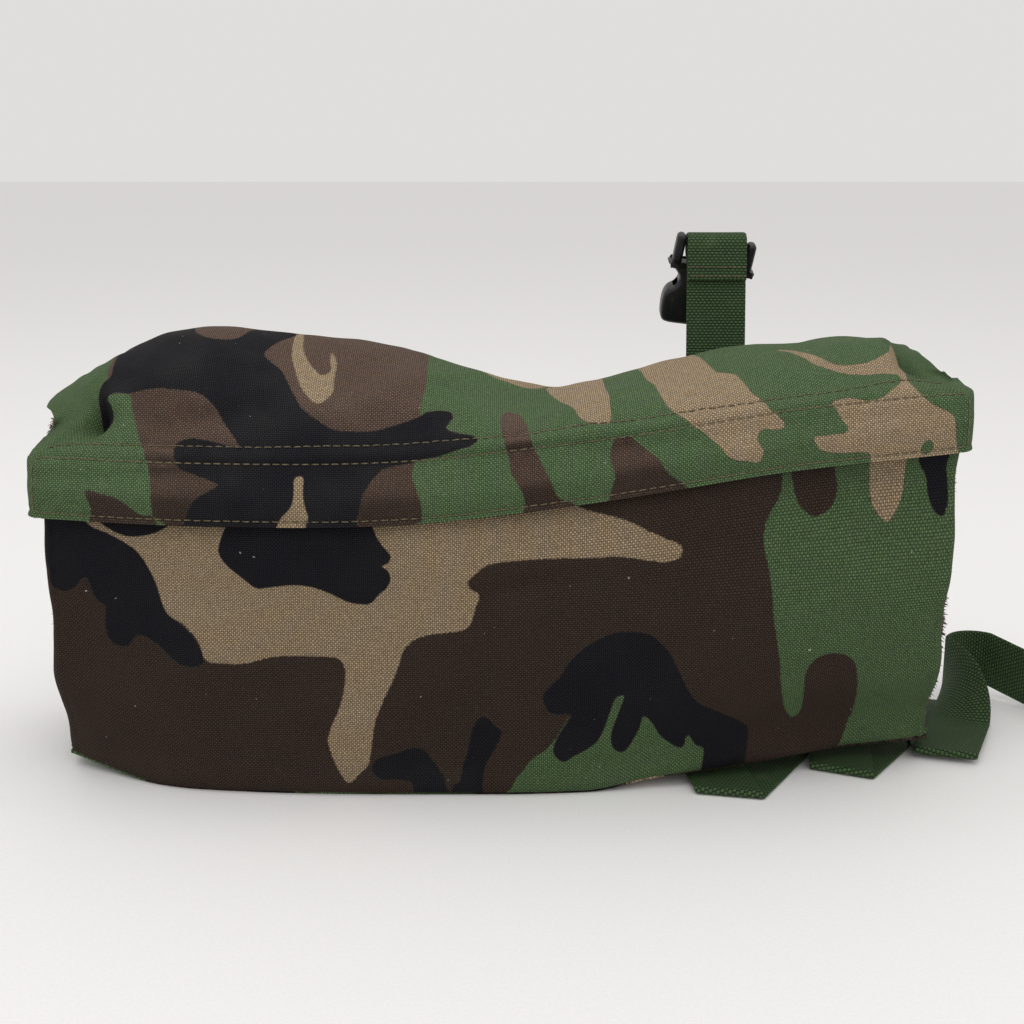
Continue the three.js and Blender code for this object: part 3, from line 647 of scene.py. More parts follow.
def print_cloth():
    """Nylon duck: printed patches over a plain weave of uneven yarns, with some lint; paler on top, partly
    from wear and partly as painted light from above, and darker in the weave's gaps as painted shade.
    """
    f = Finish("camo_cloth_print", 0.85, 0.1)
    c, pitch = colours(), sizes().yarn / MM
    vector, u, v = f.cloth_uv()
    wobble = f.math("SUBTRACT", f.noise(vector, 0.9, 2.0), 0.5)
    # This attribute holds real wear and painted light together: it is higher where the cloth faces up to the
    # lamp.
    wear_and_painted_light = f.attribute("wear_and_painted_light")
    # Painted light: the brown ground is mixed towards a paler brown on top surfaces.
    base = f.mix(f.ramp(wear_and_painted_light, 0.5, 1.0, 0.0, 0.5), solid_colour(c.brown, 0.8), solid_colour(c.brown, 3.4))
    for key in ("tan", "green", "black"):
        edge = f.math("ADD", f.attribute(key), f.math("MULTIPLY", wobble, 1.6))
        base = f.mix(f.ramp(edge, -0.35, 0.35), base, solid_colour(getattr(c, key)))
    gaps, over = weave(f, u, v, pitch)
    warp = f.noise(f.scaled(vector, 1.25 / pitch, 0.16), 1.0, 1.0)
    weft = f.noise(f.scaled(vector, 0.16, 1.25 / pitch), 1.0, 1.0)
    yarns = f.math("ADD", warp, weft)
    slubs = f.noise(vector, 0.8 / pitch, 1.0)
    # Painted shade and light of the weave: darker in the gaps between yarns, paler on their crowns.
    tone = f.math("MULTIPLY", f.ramp(gaps, 0.12, 0.92, 0.34, 1.28), f.ramp(yarns, 0.6, 1.4, 0.84, 1.16))
    tone = f.math("MULTIPLY", tone, f.ramp(over, -0.9, 0.9, 0.68, 1.34))
    tone = f.math("MULTIPLY", tone, f.ramp(slubs, 0.3, 0.7, 0.84, 1.16))
    # Painted light: top surfaces get a higher tone.
    tone = f.math("MULTIPLY", tone, f.ramp(wear_and_painted_light, 0.2, 1.0, 0.98, 1.22))
    base = f.toned(base, tone)
    patchy = f.ramp(f.noise(vector, 0.035, 4.0), 0.35, 0.7, 0.25, 1.0)
    # The pale wash below is partly real rubbing and partly painted sheen on top surfaces.
    rub = f.math("MULTIPLY", wear_and_painted_light, patchy)
    rub_and_sheen_wash = f.math("MULTIPLY", rub, f.ramp(gaps, 0.45, 0.95, 0.25, 1.0))
    base = f.mix(f.math("MULTIPLY", rub_and_sheen_wash, 0.06), base, (0.40, 0.36, 0.30, 1.0))
    lint = f.ramp(f.noise(vector, 0.42, 1.0, 0.4), 0.79, 0.83)
    base = f.mix(f.math("MULTIPLY", lint, 0.55), base, (0.55, 0.53, 0.50, 1.0))
    f.colour(base)
    f.roughness(f.ramp(yarns, 0.6, 1.4, 0.74, 0.9))
    height = f.math("ADD", gaps, f.math("MULTIPLY", slubs, 0.5))
    f.bump(height, 0.00022, 0.9)
    return f.material


def webbing():
    """Flat nylon webbing: short staggered ribs across it and a few rubbed yarns."""
    f = Finish("webbing_ribbed", 0.7, 0.3)
    c, rib = colours(), sizes().rib / MM
    vector, u, v = f.cloth_uv()
    half = math.pi / rib
    rise = f.math("SINE", f.math("MULTIPLY", u, half))
    ribs = f.math("ABSOLUTE", rise)
    column = math.pi / 0.9
    stagger = f.math("SINE", f.math("MULTIPLY", v, column))
    alternate = f.math("MULTIPLY", rise, stagger)
    body = f.math("ADD", f.math("MULTIPLY", ribs, 0.55), f.ramp(alternate, -0.5, 0.7, 0.0, 0.6))
    yarn = f.noise(f.scaled(vector, 0.12, 2.2), 1.0, 2.0)
    # Painted shade and light of the ribs: very dark in the grooves between ribs, pale on their tops.
    tone = f.math("MULTIPLY", f.ramp(body, 0.15, 1.0, 0.14, 1.95), f.ramp(yarn, 0.3, 0.7, 0.75, 1.25))
    base = f.toned(solid_colour(c.webbing), tone)
    rub = f.ramp(f.noise(vector, 0.09, 4.0), 0.55, 0.75)
    base = f.mix(f.math("MULTIPLY", rub, 0.10), base, (0.22, 0.25, 0.14, 1.0))
    f.colour(base)
    f.roughness(f.ramp(yarn, 0.3, 0.7, 0.6, 0.8))
    f.bump(body, 0.00045, 0.9)
    return f.material


def pile_fur():
    """Brushed pile: fine clumps, paler where the hair tips catch light and dark between them."""
    f = Finish("pile_fur", 0.92, 0.15)
    c = colours()
    point = f.object_point()
    clumps = f.noise(point, 260.0, 4.0, 0.65)
    hairs = f.noise(f.scaled(point, 0.35, 1.0, 1.0), 1500.0, 2.0)
    mixed = f.math("ADD", f.math("MULTIPLY", clumps, 0.65), f.math("MULTIPLY", hairs, 0.35))
    base = f.mix(f.ramp(mixed, 0.38, 0.62), solid_colour(c.pile, 0.35), solid_colour(c.pile, 1.9))
    f.colour(base)
    f.shader.inputs["Sheen Weight"].default_value = 0.35
    f.shader.inputs["Sheen Roughness"].default_value = 0.4
    f.bump(mixed, 0.0015, 1.0)
    return f.material


def quilt():
    """Polyester insulation: pale matted fibres."""
    f = Finish("wadding_fibre", 0.95, 0.1)
    fibres = f.noise(f.scaled(f.object_point(), 0.4, 1.0, 1.0), 700.0, 5.0, 0.7)
    wadding = colours().wadding
    base = f.mix(f.ramp(fibres, 0.35, 0.65), solid_colour(wadding, 0.7), solid_colour(wadding))
    f.colour(base)
    f.bump(fibres, 0.0012, 0.8)
    return f.material


def hook_and_loop():
    """Hook and loop tape: dense small tufts in rows."""
    f = Finish("hook_loop_tape", 0.85, 0.2)
    c = colours()
    vector, u, v = f.cloth_uv()
    gaps, _ = weave(f, u, v, 1.1)
    fuzz = f.noise(vector, 2.4, 3.0)
    height = f.math("ADD", gaps, f.math("MULTIPLY", fuzz, 0.9))
    # Painted shade and light of the tufts: darker where the tape's surface is low, paler where it is high.
    f.colour(f.mix(f.ramp(height, 0.5, 1.4), solid_colour(c.tape, 0.5), solid_colour(c.tape, 2.2)))
    f.bump(height, 0.0006, 0.9)
    return f.material


def moulded():
    """Moulded acetal: satin black with fine scuffs and a soft gloss."""
    f = Finish("buckle_acetal", 0.32, 0.5)
    c = colours()
    point = f.object_point()
    grain = f.noise(point, 1800.0, 3.0)
    scuffs = f.noise(f.scaled(point, 1.0, 1.0, 0.25), 420.0, 4.0, 0.7)
    f.colour(f.mix(f.ramp(scuffs, 0.6, 0.78), solid_colour(c.plastic), solid_colour(c.plastic, 4.0)))
    f.roughness(f.ramp(scuffs, 0.35, 0.75, 0.26, 0.5))
    f.bump(grain, 0.00006, 0.5)
    return f.material


def sewing_thread():
    """Bonded thread: twisted plies and a slight shine."""
    f = Finish("thread_bonded", 0.6, 0.3)
    c = colours()
    plies = f.noise(f.object_point(), 1600.0, 2.0)
    f.colour(f.mix(f.ramp(plies, 0.35, 0.65), solid_colour(c.thread, 0.6), solid_colour(c.thread, 1.35)))
    f.bump(plies, 0.0001, 0.6)
    return f.material


MAKERS = {
    "camo_cloth": print_cloth, "webbing": webbing, "pile": pile_fur, "wadding": quilt,
    "hook_loop": hook_and_loop, "buckle_plastic": moulded, "thread": sewing_thread,
}
made_finishes = {}


def finish_of(slot):
    """The slot's material, made on its first use."""
    if slot not in made_finishes:
        made_finishes[slot] = MAKERS[slot]()
    return made_finishes[slot]


# ---------------------------------------------------------------- stitches
def stitch_mesh(points, normals, pitch, length, thick):
    """A row of stitches along a line: each is a six-sided thread whose ends dip into the cloth."""
    line = np.asarray(points, float)
    reach = np.concatenate([[0], np.cumsum(np.linalg.norm(np.diff(line, axis=0), axis=1))])
    middles = np.arange(pitch / 2, reach[-1], pitch)

    def at(values, where):
        return np.stack([np.interp(where, reach, values[:, k]) for k in range(3)], -1)

    spot, up = at(line, middles), at(np.asarray(normals, float), middles)
    way = at(line, middles + 0.4) - at(line, middles - 0.4)
    way /= np.maximum(np.linalg.norm(way, axis=1, keepdims=True), 1e-9)
    side = np.cross(up, way)
    side /= np.maximum(np.linalg.norm(side, axis=1, keepdims=True), 1e-9)
    up = np.cross(way, side)
    rings, sides = np.array([-0.5, -0.36, 0.0, 0.36, 0.5]), 6
    swell = np.array([0.45, 0.9, 1.0, 0.9, 0.45]) * thick / 2
    rise = np.array([-0.25, 0.12, 0.3, 0.12, -0.25]) * thick
    angle = 2 * np.pi * np.arange(sides) / sides
    mesh_points = (
        spot[:, None, None]
        + way[:, None, None] * (rings * length)[None, :, None, None]
        + up[:, None, None] * (rise[:, None] + swell[:, None] * np.sin(angle))[None, :, :, None]
        + side[:, None, None] * (swell[:, None] * np.cos(angle))[None, :, :, None]
    ).reshape(-1, 3)
    one = grid_quads(len(rings), sides, wrap=True)
    top = (len(rings) - 1) * sides
    low_cap = np.array([[0, 1, 2, 3], [0, 3, 4, 5]])
    high_cap = top + np.array([[3, 2, 1, 0], [5, 4, 3, 0]])
    one = np.concatenate([one, low_cap, high_cap])
    starts = np.arange(len(middles))[:, None, None] * len(rings) * sides
    return mesh_points, (one[None] + starts).reshape(-1, 4)


def sew(name, lines, body=None, pitch=None, length=None, thick=None):
    """Rows of stitches as one piece of thread; each line is its points and its cloth's normals."""
    pitch = pitch or sizes().pitch / MM
    length = length or sizes().stitch / MM
    thick = thick or sizes().thread / MM
    points, quads = joined([stitch_mesh(p, n, pitch, length, thick) for p, n in lines])
    piece = make_piece(name, points, quads, finish_of("thread"), sharp=80)
    if body:
        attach(piece, body)
    return piece


# ---------------------------------------------------------------- flat webbing
def shifted(x, y, z):
    m = np.eye(4)
    m[:3, 3] = (x, y, z)
    return m


def turned(axis, angle):
    """A turn about an axis through the origin, by the formula of a rotation from its axis and angle."""
    axis = np.asarray(axis, float) / np.linalg.norm(axis)
    k = np.array([[0, -axis[2], axis[1]], [axis[2], 0, -axis[0]], [-axis[1], axis[0], 0]])
    m = np.eye(4)
    m[:3, :3] = np.eye(3) + math.sin(angle) * k + (1 - math.cos(angle)) * k @ k
    return m


def heading(place, forward, out):
    """A frame that runs forward along x, with its face looking out along z."""
    m = np.eye(4)
    m[:3, 0], m[:3, 1], m[:3, 2], m[:3, 3] = forward, np.cross(out, forward), out, place
    return m


class Tape:
    """Lays webbing that only bends and twists, and keeps its frame at each step."""

    def __init__(self, place):
        self.at = place.copy()
        self.shear = 0.0
        self.rows = [(self.at.copy(), 0.0)]

    def step(self, move):
        self.at = self.at @ move
        self.rows.append((self.at.copy(), self.shear))

    def forward(self, length, steps=1, shear=0.0):
        start = self.shear
        for i in range(1, steps + 1):
            self.shear = start + (shear - start) * i / steps
            self.step(shifted(length / steps, 0, 0))
        return self

    def twist(self, length, angle, edge, sink, steps=16):
        for _ in range(steps):
            turn = shifted(length / steps, edge, 0) @ turned((1, 0, 0), angle / steps) @ shifted(0, -edge, 0)
            self.at = shifted(0, 0, -sink / steps) @ self.at
            self.step(turn)
        return self

    def bend(self, angle, radius, steps=10, skew=0.0):
        axis = np.array([math.sin(skew), math.cos(skew), 0])
        slide = abs(radius) * angle * math.tan(skew) / steps
        turn = turned(axis, -math.copysign(angle, radius) / steps)
        move = shifted(axis[0] * slide, axis[1] * slide, 0)
        move = move @ shifted(0, 0, radius) @ turn @ shifted(0, 0, -radius)
        for _ in range(steps):
            self.step(move)
        return self

    def place(self):
        return self.at[:3, 3].copy()

    def fold_at(self, p, q, upward):
        """Runs on to p on its own plane and folds flat there towards q, onto its upper or lower side."""
        way = np.array([q[0] - p[0], q[1] - p[1], 0.0])
        way = self.at[:3, :3].T @ (way / np.linalg.norm(way))
        skew = 0.5 * math.atan2(way[1], -way[0])
        face_up = self.at[2, 2] > 0
        lead = abs(WEB / 2 * math.tan(skew)) + 1.5
        here = self.place()
        self.forward(math.hypot(p[0] - here[0], p[1] - here[1]) - lead, 6)
        self.forward(lead, 2, math.tan(skew))
        self.bend(math.pi, FOLD if face_up == upward else -FOLD, 8, skew)
        return self.forward(lead, 2)


def ribbon(rows, width=WEB, thick=WEB_THICK):
    """Webbing along frames: a flat section with thinner, rounded edges, carried from frame to frame."""
    across = np.array([-1.0, -0.97, -0.9, -0.45, 0.0, 0.45, 0.9, 0.97, 1.0]) * width / 2
    half = np.array([0.18, 0.75, 1.0, 0.94, 0.94, 0.94, 1.0, 0.75, 0.18]) * thick / 2
    y = np.concatenate([across, across[::-1]])
    z = np.concatenate([half, -half[::-1]])
    frames = np.array([m for m, _ in rows])
    shear = np.array([s for _, s in rows])
    local = np.stack([y * shear[:, None], np.broadcast_to(y, (len(rows), len(y))),
                      np.broadcast_to(z, (len(rows), len(z))), np.ones((len(rows), len(y)))], -1)
    points = np.einsum("rij,rkj->rki", frames, local)[..., :3]
    path = frames[:, :3, 3]
    reach = np.concatenate([[0], np.cumsum(np.linalg.norm(np.diff(path, axis=0), axis=1))])
    uv = np.stack([reach[:, None] + local[..., 0], np.broadcast_to(y, (len(rows), len(y)))], -1)
    count, n = len(y), len(across)
    quads = [grid_quads(len(rows), count, wrap=True)]
    k = np.arange(n - 1)
    cap = np.stack([k, k + 1, count - 2 - k, count - 1 - k], -1)
    quads += [cap, cap[:, ::-1] + (len(rows) - 1) * count]
    return points.reshape(-1, 3), np.concatenate(quads), uv.reshape(-1, 2), path


def row_line(rows, across, inset=0.0, lift=WEB_THICK / 2):
    """A line of points along webbing, across from its middle, on its face, with the face's normals."""
    local = np.array([inset, across, lift, 1.0])
    return np.array([(m @ local)[:3] for m, _ in rows]), np.array([m[:3, 2] * np.sign(lift) for m, _ in rows])


UP, DOWN, REAR = np.array([0, 0, 1.0]), np.array([0, 0, -1.0]), np.array([0, 1.0, 0])
SEWN_LOW = 62.0
SEWN_HIGH = 126.0
SEWN_Y = BACK_Y + GAP + WEB_THICK / 2
LOOP_R = BAR + GAP + WEB_THICK / 2
SLACK_R = LOOP_R + 1.9
LEAN = 0.12
SHORT_RUN = 79.0
WRAP = 0.9
ROUTE = [
    ((-STRAP_X, 76), False), ((70, 73), True), ((87, -49), False), ((150, 56), True),
    ((135, -27), False), ((189, 50), True), ((180, -14), True),
]
TURN_BACK = (211, 54)
DRAPE = 9.0
TWIST = 38.0
STACK_HIGH = 4.2
PLUG_HIGH = 2.2
KEEPER_BACK = 24.0
TAIL = 15.0  # length of the short end's sewn tail below the bar


def long_tape():
    """The long belt end: down the back, to and fro under the muff in flat folds, out to the right on edge,
    forward to the plug's bar, round it and back on itself. Gives its rows and its frame at the bar."""
    tape = Tape(heading((-STRAP_X, SEWN_Y + 0.2, SEWN_LOW - 0.6), DOWN, REAR))
    tape.forward(SEWN_LOW - 0.6 - FLOOR_LAY - 2 * FOLD - DRAPE, 8).bend(math.pi / 2, DRAPE, 10)
    for i, (p, upward) in enumerate(ROUTE):
        tape.fold_at(p, ROUTE[i + 1][0] if i + 1 < len(ROUTE) else TURN_BACK, upward)
    here = tape.place()
    left = math.hypot(TURN_BACK[0] - here[0], TURN_BACK[1] - here[1])
    tape.forward(left - TWIST, 4).twist(TWIST, -math.pi / 2, -WEB / 2, 0)
    tape.bend(1.95, 13, 20).twist(20, 0, 0, STACK_HIGH, 6).bend(0.85, 16, 10)
    tape.twist(TWIST, -math.pi / 2, -WEB / 2, FLOOR_LAY - PLUG_HIGH - 0.4).forward(50, 8)
    meeting = tape.at.copy()
    tape.bend(math.pi + 0.25, LOOP_R, 16).forward(12, 3).bend(0.25, -6, 3).forward(30, 5)
    return tape.rows, meeting


# ---------------------------------------------------------------- operators
class MUFF_OT_stage(bpy.types.Operator):
    """Adds the floor, the soft lights and the camera"""

    bl_idname = "muff.stage"
    bl_label = "Stage"

    def execute(self, context):
        scene = context.scene
        scene.view_settings.view_transform = "Standard"
        world = bpy.data.worlds.new("soft_room")
        world.use_nodes = True
        world.node_tree.nodes["Background"].inputs[0].default_value = solid_colour(colours().wall)
        world.node_tree.nodes["Background"].inputs[1].default_value = 1.0
        scene.world = world
        mesh = bpy.data.meshes.new("floor")
        corners = [(FLOOR_HALF * x, FLOOR_HALF * y, 0) for x, y in ((-1, -1), (1, -1), (1, 1), (-1, 1))]
        mesh.from_pydata(corners, [], [(0, 1, 2, 3)])
        floor = bpy.data.objects.new("floor", mesh)
        scene.collection.objects.link(floor)
        f = Finish("floor_paper", 0.9, 0.2)
        specks = f.noise(f.object_point(), 900.0, 3.0)
        pale = colours().floor
        f.colour(f.mix(f.ramp(specks, 0.3, 0.7), solid_colour(pale, 0.96), solid_colour(pale)))
        mesh.materials.append(f.material)
        for name, place, size, power in LAMPS:
            light = bpy.data.lights.new(name, "AREA")
            light.energy = power
            light.size = size
            lamp = bpy.data.objects.new(name, light)
            lamp.location = place
            aim = -np.array(place) + np.array([0, 0, LAMP_AIM])
            tilt = math.atan2(math.hypot(aim[0], aim[1]), -aim[2])
            lamp.rotation_euler = (tilt, 0, math.atan2(-aim[0], aim[1]))
            scene.collection.objects.link(lamp)
        camera = bpy.data.cameras.new("camera")
        camera.angle = FIELD_OF_VIEW
        camera.clip_end = 100
        eye = bpy.data.objects.new("camera", camera)
        eye.location = EYE
        eye.rotation_euler = (math.pi / 2 - LOOK_DOWN, 0, 0)
        scene.collection.objects.link(eye)
        scene.camera = eye
        return {"FINISHED"}


class MUFF_OT_long_belt(bpy.types.Operator):
    """Lays the long belt end with its plug and keeper"""

    bl_idname = "muff.long_belt"
    bl_label = "Long belt end"

    def execute(self, context):
        rows, meeting = long_tape()
        points, quads, uv, path = ribbon(rows)
        belt = make_piece("long_belt_webbing", points, quads, finish_of("webbing"), uv)
        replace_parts(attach(belt, "muff"), "long_strap")
        bar = meeting[:3, 3] + LOOP_R * meeting[:3, 2]
        onward = meeting[:3, 0]
        frame_of_plug = np.eye(4)
        frame_of_plug[:3, 0] = np.cross(UP, -onward)
        frame_of_plug[:3, 1] = UP
        frame_of_plug[:3, 2] = -onward
        frame_of_plug[:3, 3] = bar
        plug = buckle_piece("buckle_plug_moulding", plug_parts(), frame_of_plug)
        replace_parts(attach(plug, "muff"), "buckle_plug")
        place = bar - KEEPER_BACK * onward
        place[2] = PLUG_HIGH
        frame_of_plug[:3, 3] = place
        keeper = keeper_piece(frame_of_plug)
        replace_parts(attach(keeper, "muff"), "strap_keeper")
        lines = [row_line(rows[-5:], across, lift=-WEB_THICK / 2) for across in (-8.5, 8.5)]
        seam = sew("long_belt_hem_stitches", lines, "muff", 2.6, 2.2)
        return {"FINISHED"}


def short_tape():
    """The short belt end: a sewn tail that climbs in front, goes over the bar, comes back under it and runs
    down behind the tail to the back panel, where it is sewn. Gives its rows and the bar's place."""
    lean = np.array([0, math.sin(LEAN), math.cos(LEAN)])
    out = np.array([0, math.cos(LEAN), -math.sin(LEAN)])
    foot = np.array([STRAP_X, SEWN_Y + 0.2, SEWN_HIGH + 1.6])
    bar = foot + lean * SHORT_RUN + out * SLACK_R
    tape = Tape(heading(foot + lean * (SHORT_RUN - TAIL), lean, out))
    tape.forward(TAIL, 6).bend(math.pi + WRAP, SLACK_R, 26)
    tape.forward(6, 3).bend(WRAP - 0.04, -3, 6).forward(12, 4)
    tape.forward((tape.place()[2] - SEWN_HIGH - 2) / -tape.at[2, 0], 14)
    straighten = math.atan2(tape.at[1, 0], -tape.at[2, 0])
    tape.bend(abs(straighten), math.copysign(14, straighten), 5)
    tape.forward(tape.place()[2] - SEWN_LOW, 16)
    return tape.rows, bar


def box_and_cross(low, high, x, y, half):
    """The four sides and two diagonals of a sewn box on the back panel, as lines with their normals."""
    left, right = x - half, x + half
    corners = [(left, low), (right, low), (right, high), (left, high), (left, low), (right, high)]
    ways = list(zip(corners[:-1], corners[1:])) + [((right, low), (left, high))]
    lines = []
    for (x0, z0), (x1, z1) in ways:
        t = np.linspace(0, 1, 9)
        line = np.stack([x0 + (x1 - x0) * t, np.full(9, y), z0 + (z1 - z0) * t], -1)
        lines.append((line, np.tile(REAR, (9, 1))))
    return lines


# ---------------------------------------------------------------- moulded buckle
def mirrored(half):
    """An outline and its mirror image across the middle plane."""
    return half + [(-x, z) for x, z in reversed(half)]


def plate_mesh(line, thick, edge):
    """A plate with rounded rims: its outline is drawn in along a quarter circle towards each face."""
    way = np.roll(line, -1, 0) - np.roll(line, 1, 0)
    way /= np.maximum(np.linalg.norm(way, axis=1, keepdims=True), 1e-9)
    inward = np.stack([way[:, 1], -way[:, 0]], -1)
    area = (line[:, 0] * np.roll(line[:, 1], -1) - np.roll(line[:, 0], -1) * line[:, 1]).sum()
    inward *= -1 if area > 0 else 1
    turn = np.linspace(0, np.pi / 2, 5)
    inset = np.concatenate([1 - np.sin(turn), (1 - np.sin(turn))[::-1]]) * edge
    rise = edge * (1 - np.cos(turn)) - thick / 2
    depth = np.concatenate([rise, -rise[::-1]])
    rings = line[None] + inward[None] * inset[:, None, None]
    points = np.stack([rings[..., 0], np.broadcast_to(depth[:, None], rings.shape[:2]), rings[..., 1]], -1)
    count = len(line)
    quads = grid_quads(len(depth), count, wrap=True)
    last = (len(depth) - 1) * count
    return points.reshape(-1, 3), quads, [list(range(count)), list(range(last, last + count))]


def round_block(x0, x1, z0, z1, radius):
    """A rectangle's outline with a quarter circle at each corner."""
    left, right, low, high = x0 + radius, x1 - radius, z0 + radius, z1 - radius
    arcs = []
    for k, (x, z) in enumerate(((right, high), (left, high), (left, low), (right, low))):
        turn = np.linspace(0, np.pi / 2, 7) + k * np.pi / 2
        arcs.append(np.stack([x + radius * np.cos(turn), z + radius * np.sin(turn)], -1))
    return np.concatenate(arcs)


def solid_object(name, line, thick, edge):
    """A plate as an object of its own, ready to be joined to others or cut."""
    points, quads, caps = plate_mesh(line, thick, edge)
    mesh = bpy.data.meshes.new(name)
    mesh.from_pydata(points.tolist(), [], quads.tolist() + caps)
    mesh.validate()
    closed_outward(mesh)
    piece = bpy.data.objects.new(name, mesh)
    bpy.context.scene.collection.objects.link(piece)
    return piece


def closed_outward(mesh):
    """Merges doubled points, turns the faces outward, and splits the large flat faces into triangles."""
    work = bmesh.new()
    work.from_mesh(mesh)
    bmesh.ops.remove_doubles(work, verts=work.verts, dist=1e-4)
    bmesh.ops.dissolve_degenerate(work, edges=work.edges, dist=1e-4)
    bmesh.ops.recalc_face_normals(work, faces=work.faces)
    bmesh.ops.triangulate(work, faces=[f for f in work.faces if len(f.verts) > 4])
    work.to_mesh(mesh)
    work.free()


def rod_object(name, radius, half_length, sides=28):
    """A round bar along x with small rounded ends: rings of a circle, smaller at both ends."""
    stations = np.array([-1, -1, -0.985, 0.985, 1, 1]) * half_length
    radii = np.array([0.02, 0.82, 1, 1, 0.82, 0.02]) * radius
    angle = 2 * np.pi * np.arange(sides) / sides
    ring = np.stack([np.zeros(sides), np.cos(angle), np.sin(angle)], -1)
    points = ring[None] * radii[:, None, None]
    points[..., 0] = stations[:, None]
    mesh = bpy.data.meshes.new(name)
    quads = grid_quads(len(stations), sides, wrap=True).tolist()
    last = (len(stations) - 1) * sides
    caps = [list(range(sides)), list(range(last, last + sides))]
    mesh.from_pydata(points.reshape(-1, 3).tolist(), [], quads + caps)
    closed_outward(mesh)
    piece = bpy.data.objects.new(name, mesh)
    bpy.context.scene.collection.objects.link(piece)
    return piece


def combine(base, others, operation):
    """Joins or cuts solids with Boolean modifiers, and keeps the result as the base's own mesh."""
    for other in others:
        change = base.modifiers.new("combine", "BOOLEAN")
        change.operation = operation
        change.object = other
        change.solver = "EXACT"
    evaluated = base.evaluated_get(bpy.context.evaluated_depsgraph_get())
    mesh = bpy.data.meshes.new_from_object(evaluated)
    base.modifiers.clear()
    base.data = mesh
    for other in others:
        bpy.data.objects.remove(other)
    return base


def posts(low, thick):
    """The two cheeks that carry the bar."""
    outlines = [round_block(*sorted((side * 13.3, side * 17.4)), low, BAR + 1.4, 1.9) for side in (-1, 1)]
    return [solid_object("post", line, 2 * thick, 1.3) for line in outlines]


def socket_parts():
    """The socket half in its own frame: bar along x at the origin, body below with the mouth cut into it."""
    outline = mirrored([
        (16.6, -9.2), (16, -11.6), (13.6, -14.5), (13.2, -17), (14.4, -19.4), (17, -21.6), (18.3, -25),
        (18.2, -31), (17.2, -35.5), (14, -37), (6, -37),
    ])
    body = solid_object("socket", smooth_outline(outline, 6), 9, 2.0)
    body = combine(body, [*posts(-12.5, 2.7), rod_object("bar", BAR, 14.8)], "UNION")
    mouth = solid_object("mouth", round_block(-15, 15, -40, -17.5, 1.6), 6, 1.2)
    return combine(body, [mouth], "DIFFERENCE")


def plug_parts():
    """The plug half in its own frame: bar along x at the origin, two prongs and the guide tongue below."""
    prongs = mirrored([
        (16.2, -8.6), (16.2, -12.5), (13.4, -15.5), (13.6, -24), (17.4, -26.5), (18.4, -30), (15.4, -35.5),
        (12.6, -36.5), (11, -33), (10.2, -26), (9.4, -17.5), (3.4, -17.5), (3, -34), (1.6, -36),
    ])
    body = solid_object("plug", smooth_outline(prongs), 6, 1.1)
    return combine(body, [*posts(-11, 2.2), rod_object("bar", BAR, 14.8)], "UNION")


def buckle_piece(name, part, place):
    """Puts a buckle half in its place, in metres, with smooth rounded faces and crisp mouldings."""
    part.name = name
    part.data.name = name
    part.data.transform(Matrix.Scale(MM, 4) @ Matrix(place.tolist()))
    part.data.materials.clear()
    part.data.materials.append(finish_of("buckle_plastic"))
    part.data.polygons.foreach_set("use_smooth", np.ones(len(part.data.polygons), bool))
    part.data.set_sharp_from_angle(angle=math.radians(38))
    part.data.update()
    return part


def keeper_piece(place):
    """A woven loop round the belt's two layers: a thin band carried round a rounded oblong."""
    turn = np.linspace(0, 2 * np.pi, 48, endpoint=False)

    def band(half_x, half_y):
        power = 0.35
        x = half_x * np.sign(np.cos(turn)) * np.abs(np.cos(turn)) ** power
        y = 1.4 + half_y * np.sign(np.sin(turn)) * np.abs(np.sin(turn)) ** power
        return x, y

    z = np.linspace(-4, 4, 7)
    along_band = np.broadcast_to(z[:, None], (len(z), len(turn)))
    swell = 0.25 * np.sqrt(np.clip(1 - (z / 4.2) ** 2, 0, 1))
    grids = []
    for half_x, half_y, sign in ((14.05, 3.1, 1), (13.3, 2.4, -1)):
        x, y = band(half_x, half_y)
        grow = 1 + sign * swell[:, None] / 14
        points = np.stack([x * grow, 1.4 + (y - 1.4) * grow, along_band, np.ones_like(along_band)], -1)
        grids.append((points @ place.T)[..., :3])
    uv = np.stack([np.broadcast_to(turn * 5.5, along_band.shape), along_band], -1)
    return ring_sleeve("strap_keeper_loop", grids[0], grids[1], finish_of("webbing"), uv)


class MUFF_OT_short_belt(bpy.types.Operator):
    """Sews the belt's two ends to the back panel, and stands up the short one round the socket's bar"""

    bl_idname = "muff.short_belt"
    bl_label = "Short belt end"

    def execute(self, context):
        rows, _ = short_tape()
        points, quads, uv, _ = ribbon(rows)
        strap = make_piece("short_belt_webbing", points, quads, finish_of("webbing"), uv)
        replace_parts(strap, "short_strap", "belt_anchor_right")
        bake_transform(strap)
        start = rows[0][0]
        lines = []
        for inset in (1.6, 5.4):
            across = np.linspace(-11.6, 11.6, 12)
            local = np.stack([np.full(12, inset), across, np.full(12, -WEB_THICK / 2), np.ones(12)], -1)
            lines.append(((local @ start.T)[:, :3], np.tile(-start[:3, 2], (12, 1))))
        tail = sew("short_belt_tail_stitches", lines, None, 2.0, 1.7, 0.6)
        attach(tail, "short_belt")
        anchor = Tape(heading((-STRAP_X, SEWN_Y, SEWN_LOW - 0.8), UP, REAR))
        anchor.forward(SEWN_HIGH - SEWN_LOW + 0.8, 16)
        points, quads, uv, _ = ribbon(anchor.rows)
        sewn = make_piece("belt_anchor_webbing", points, quads, finish_of("webbing"), uv)
        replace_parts(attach(sewn, "muff"), "belt_anchor_left")
        face = SEWN_Y + WEB_THICK / 2
        low, high = SEWN_LOW + 5, SEWN_HIGH - 14
        lines = [line for x in (-STRAP_X, STRAP_X) for line in box_and_cross(low, high, x, face, 9.8)]
        sew("belt_anchor_stitches", lines, "muff", 3.0, 2.5, 0.6)
        return {"FINISHED"}


def frame_joint(name):
    """The frame's record of a joint."""
    return next(joint for joint in frame["joints"] if joint["name"] == name)


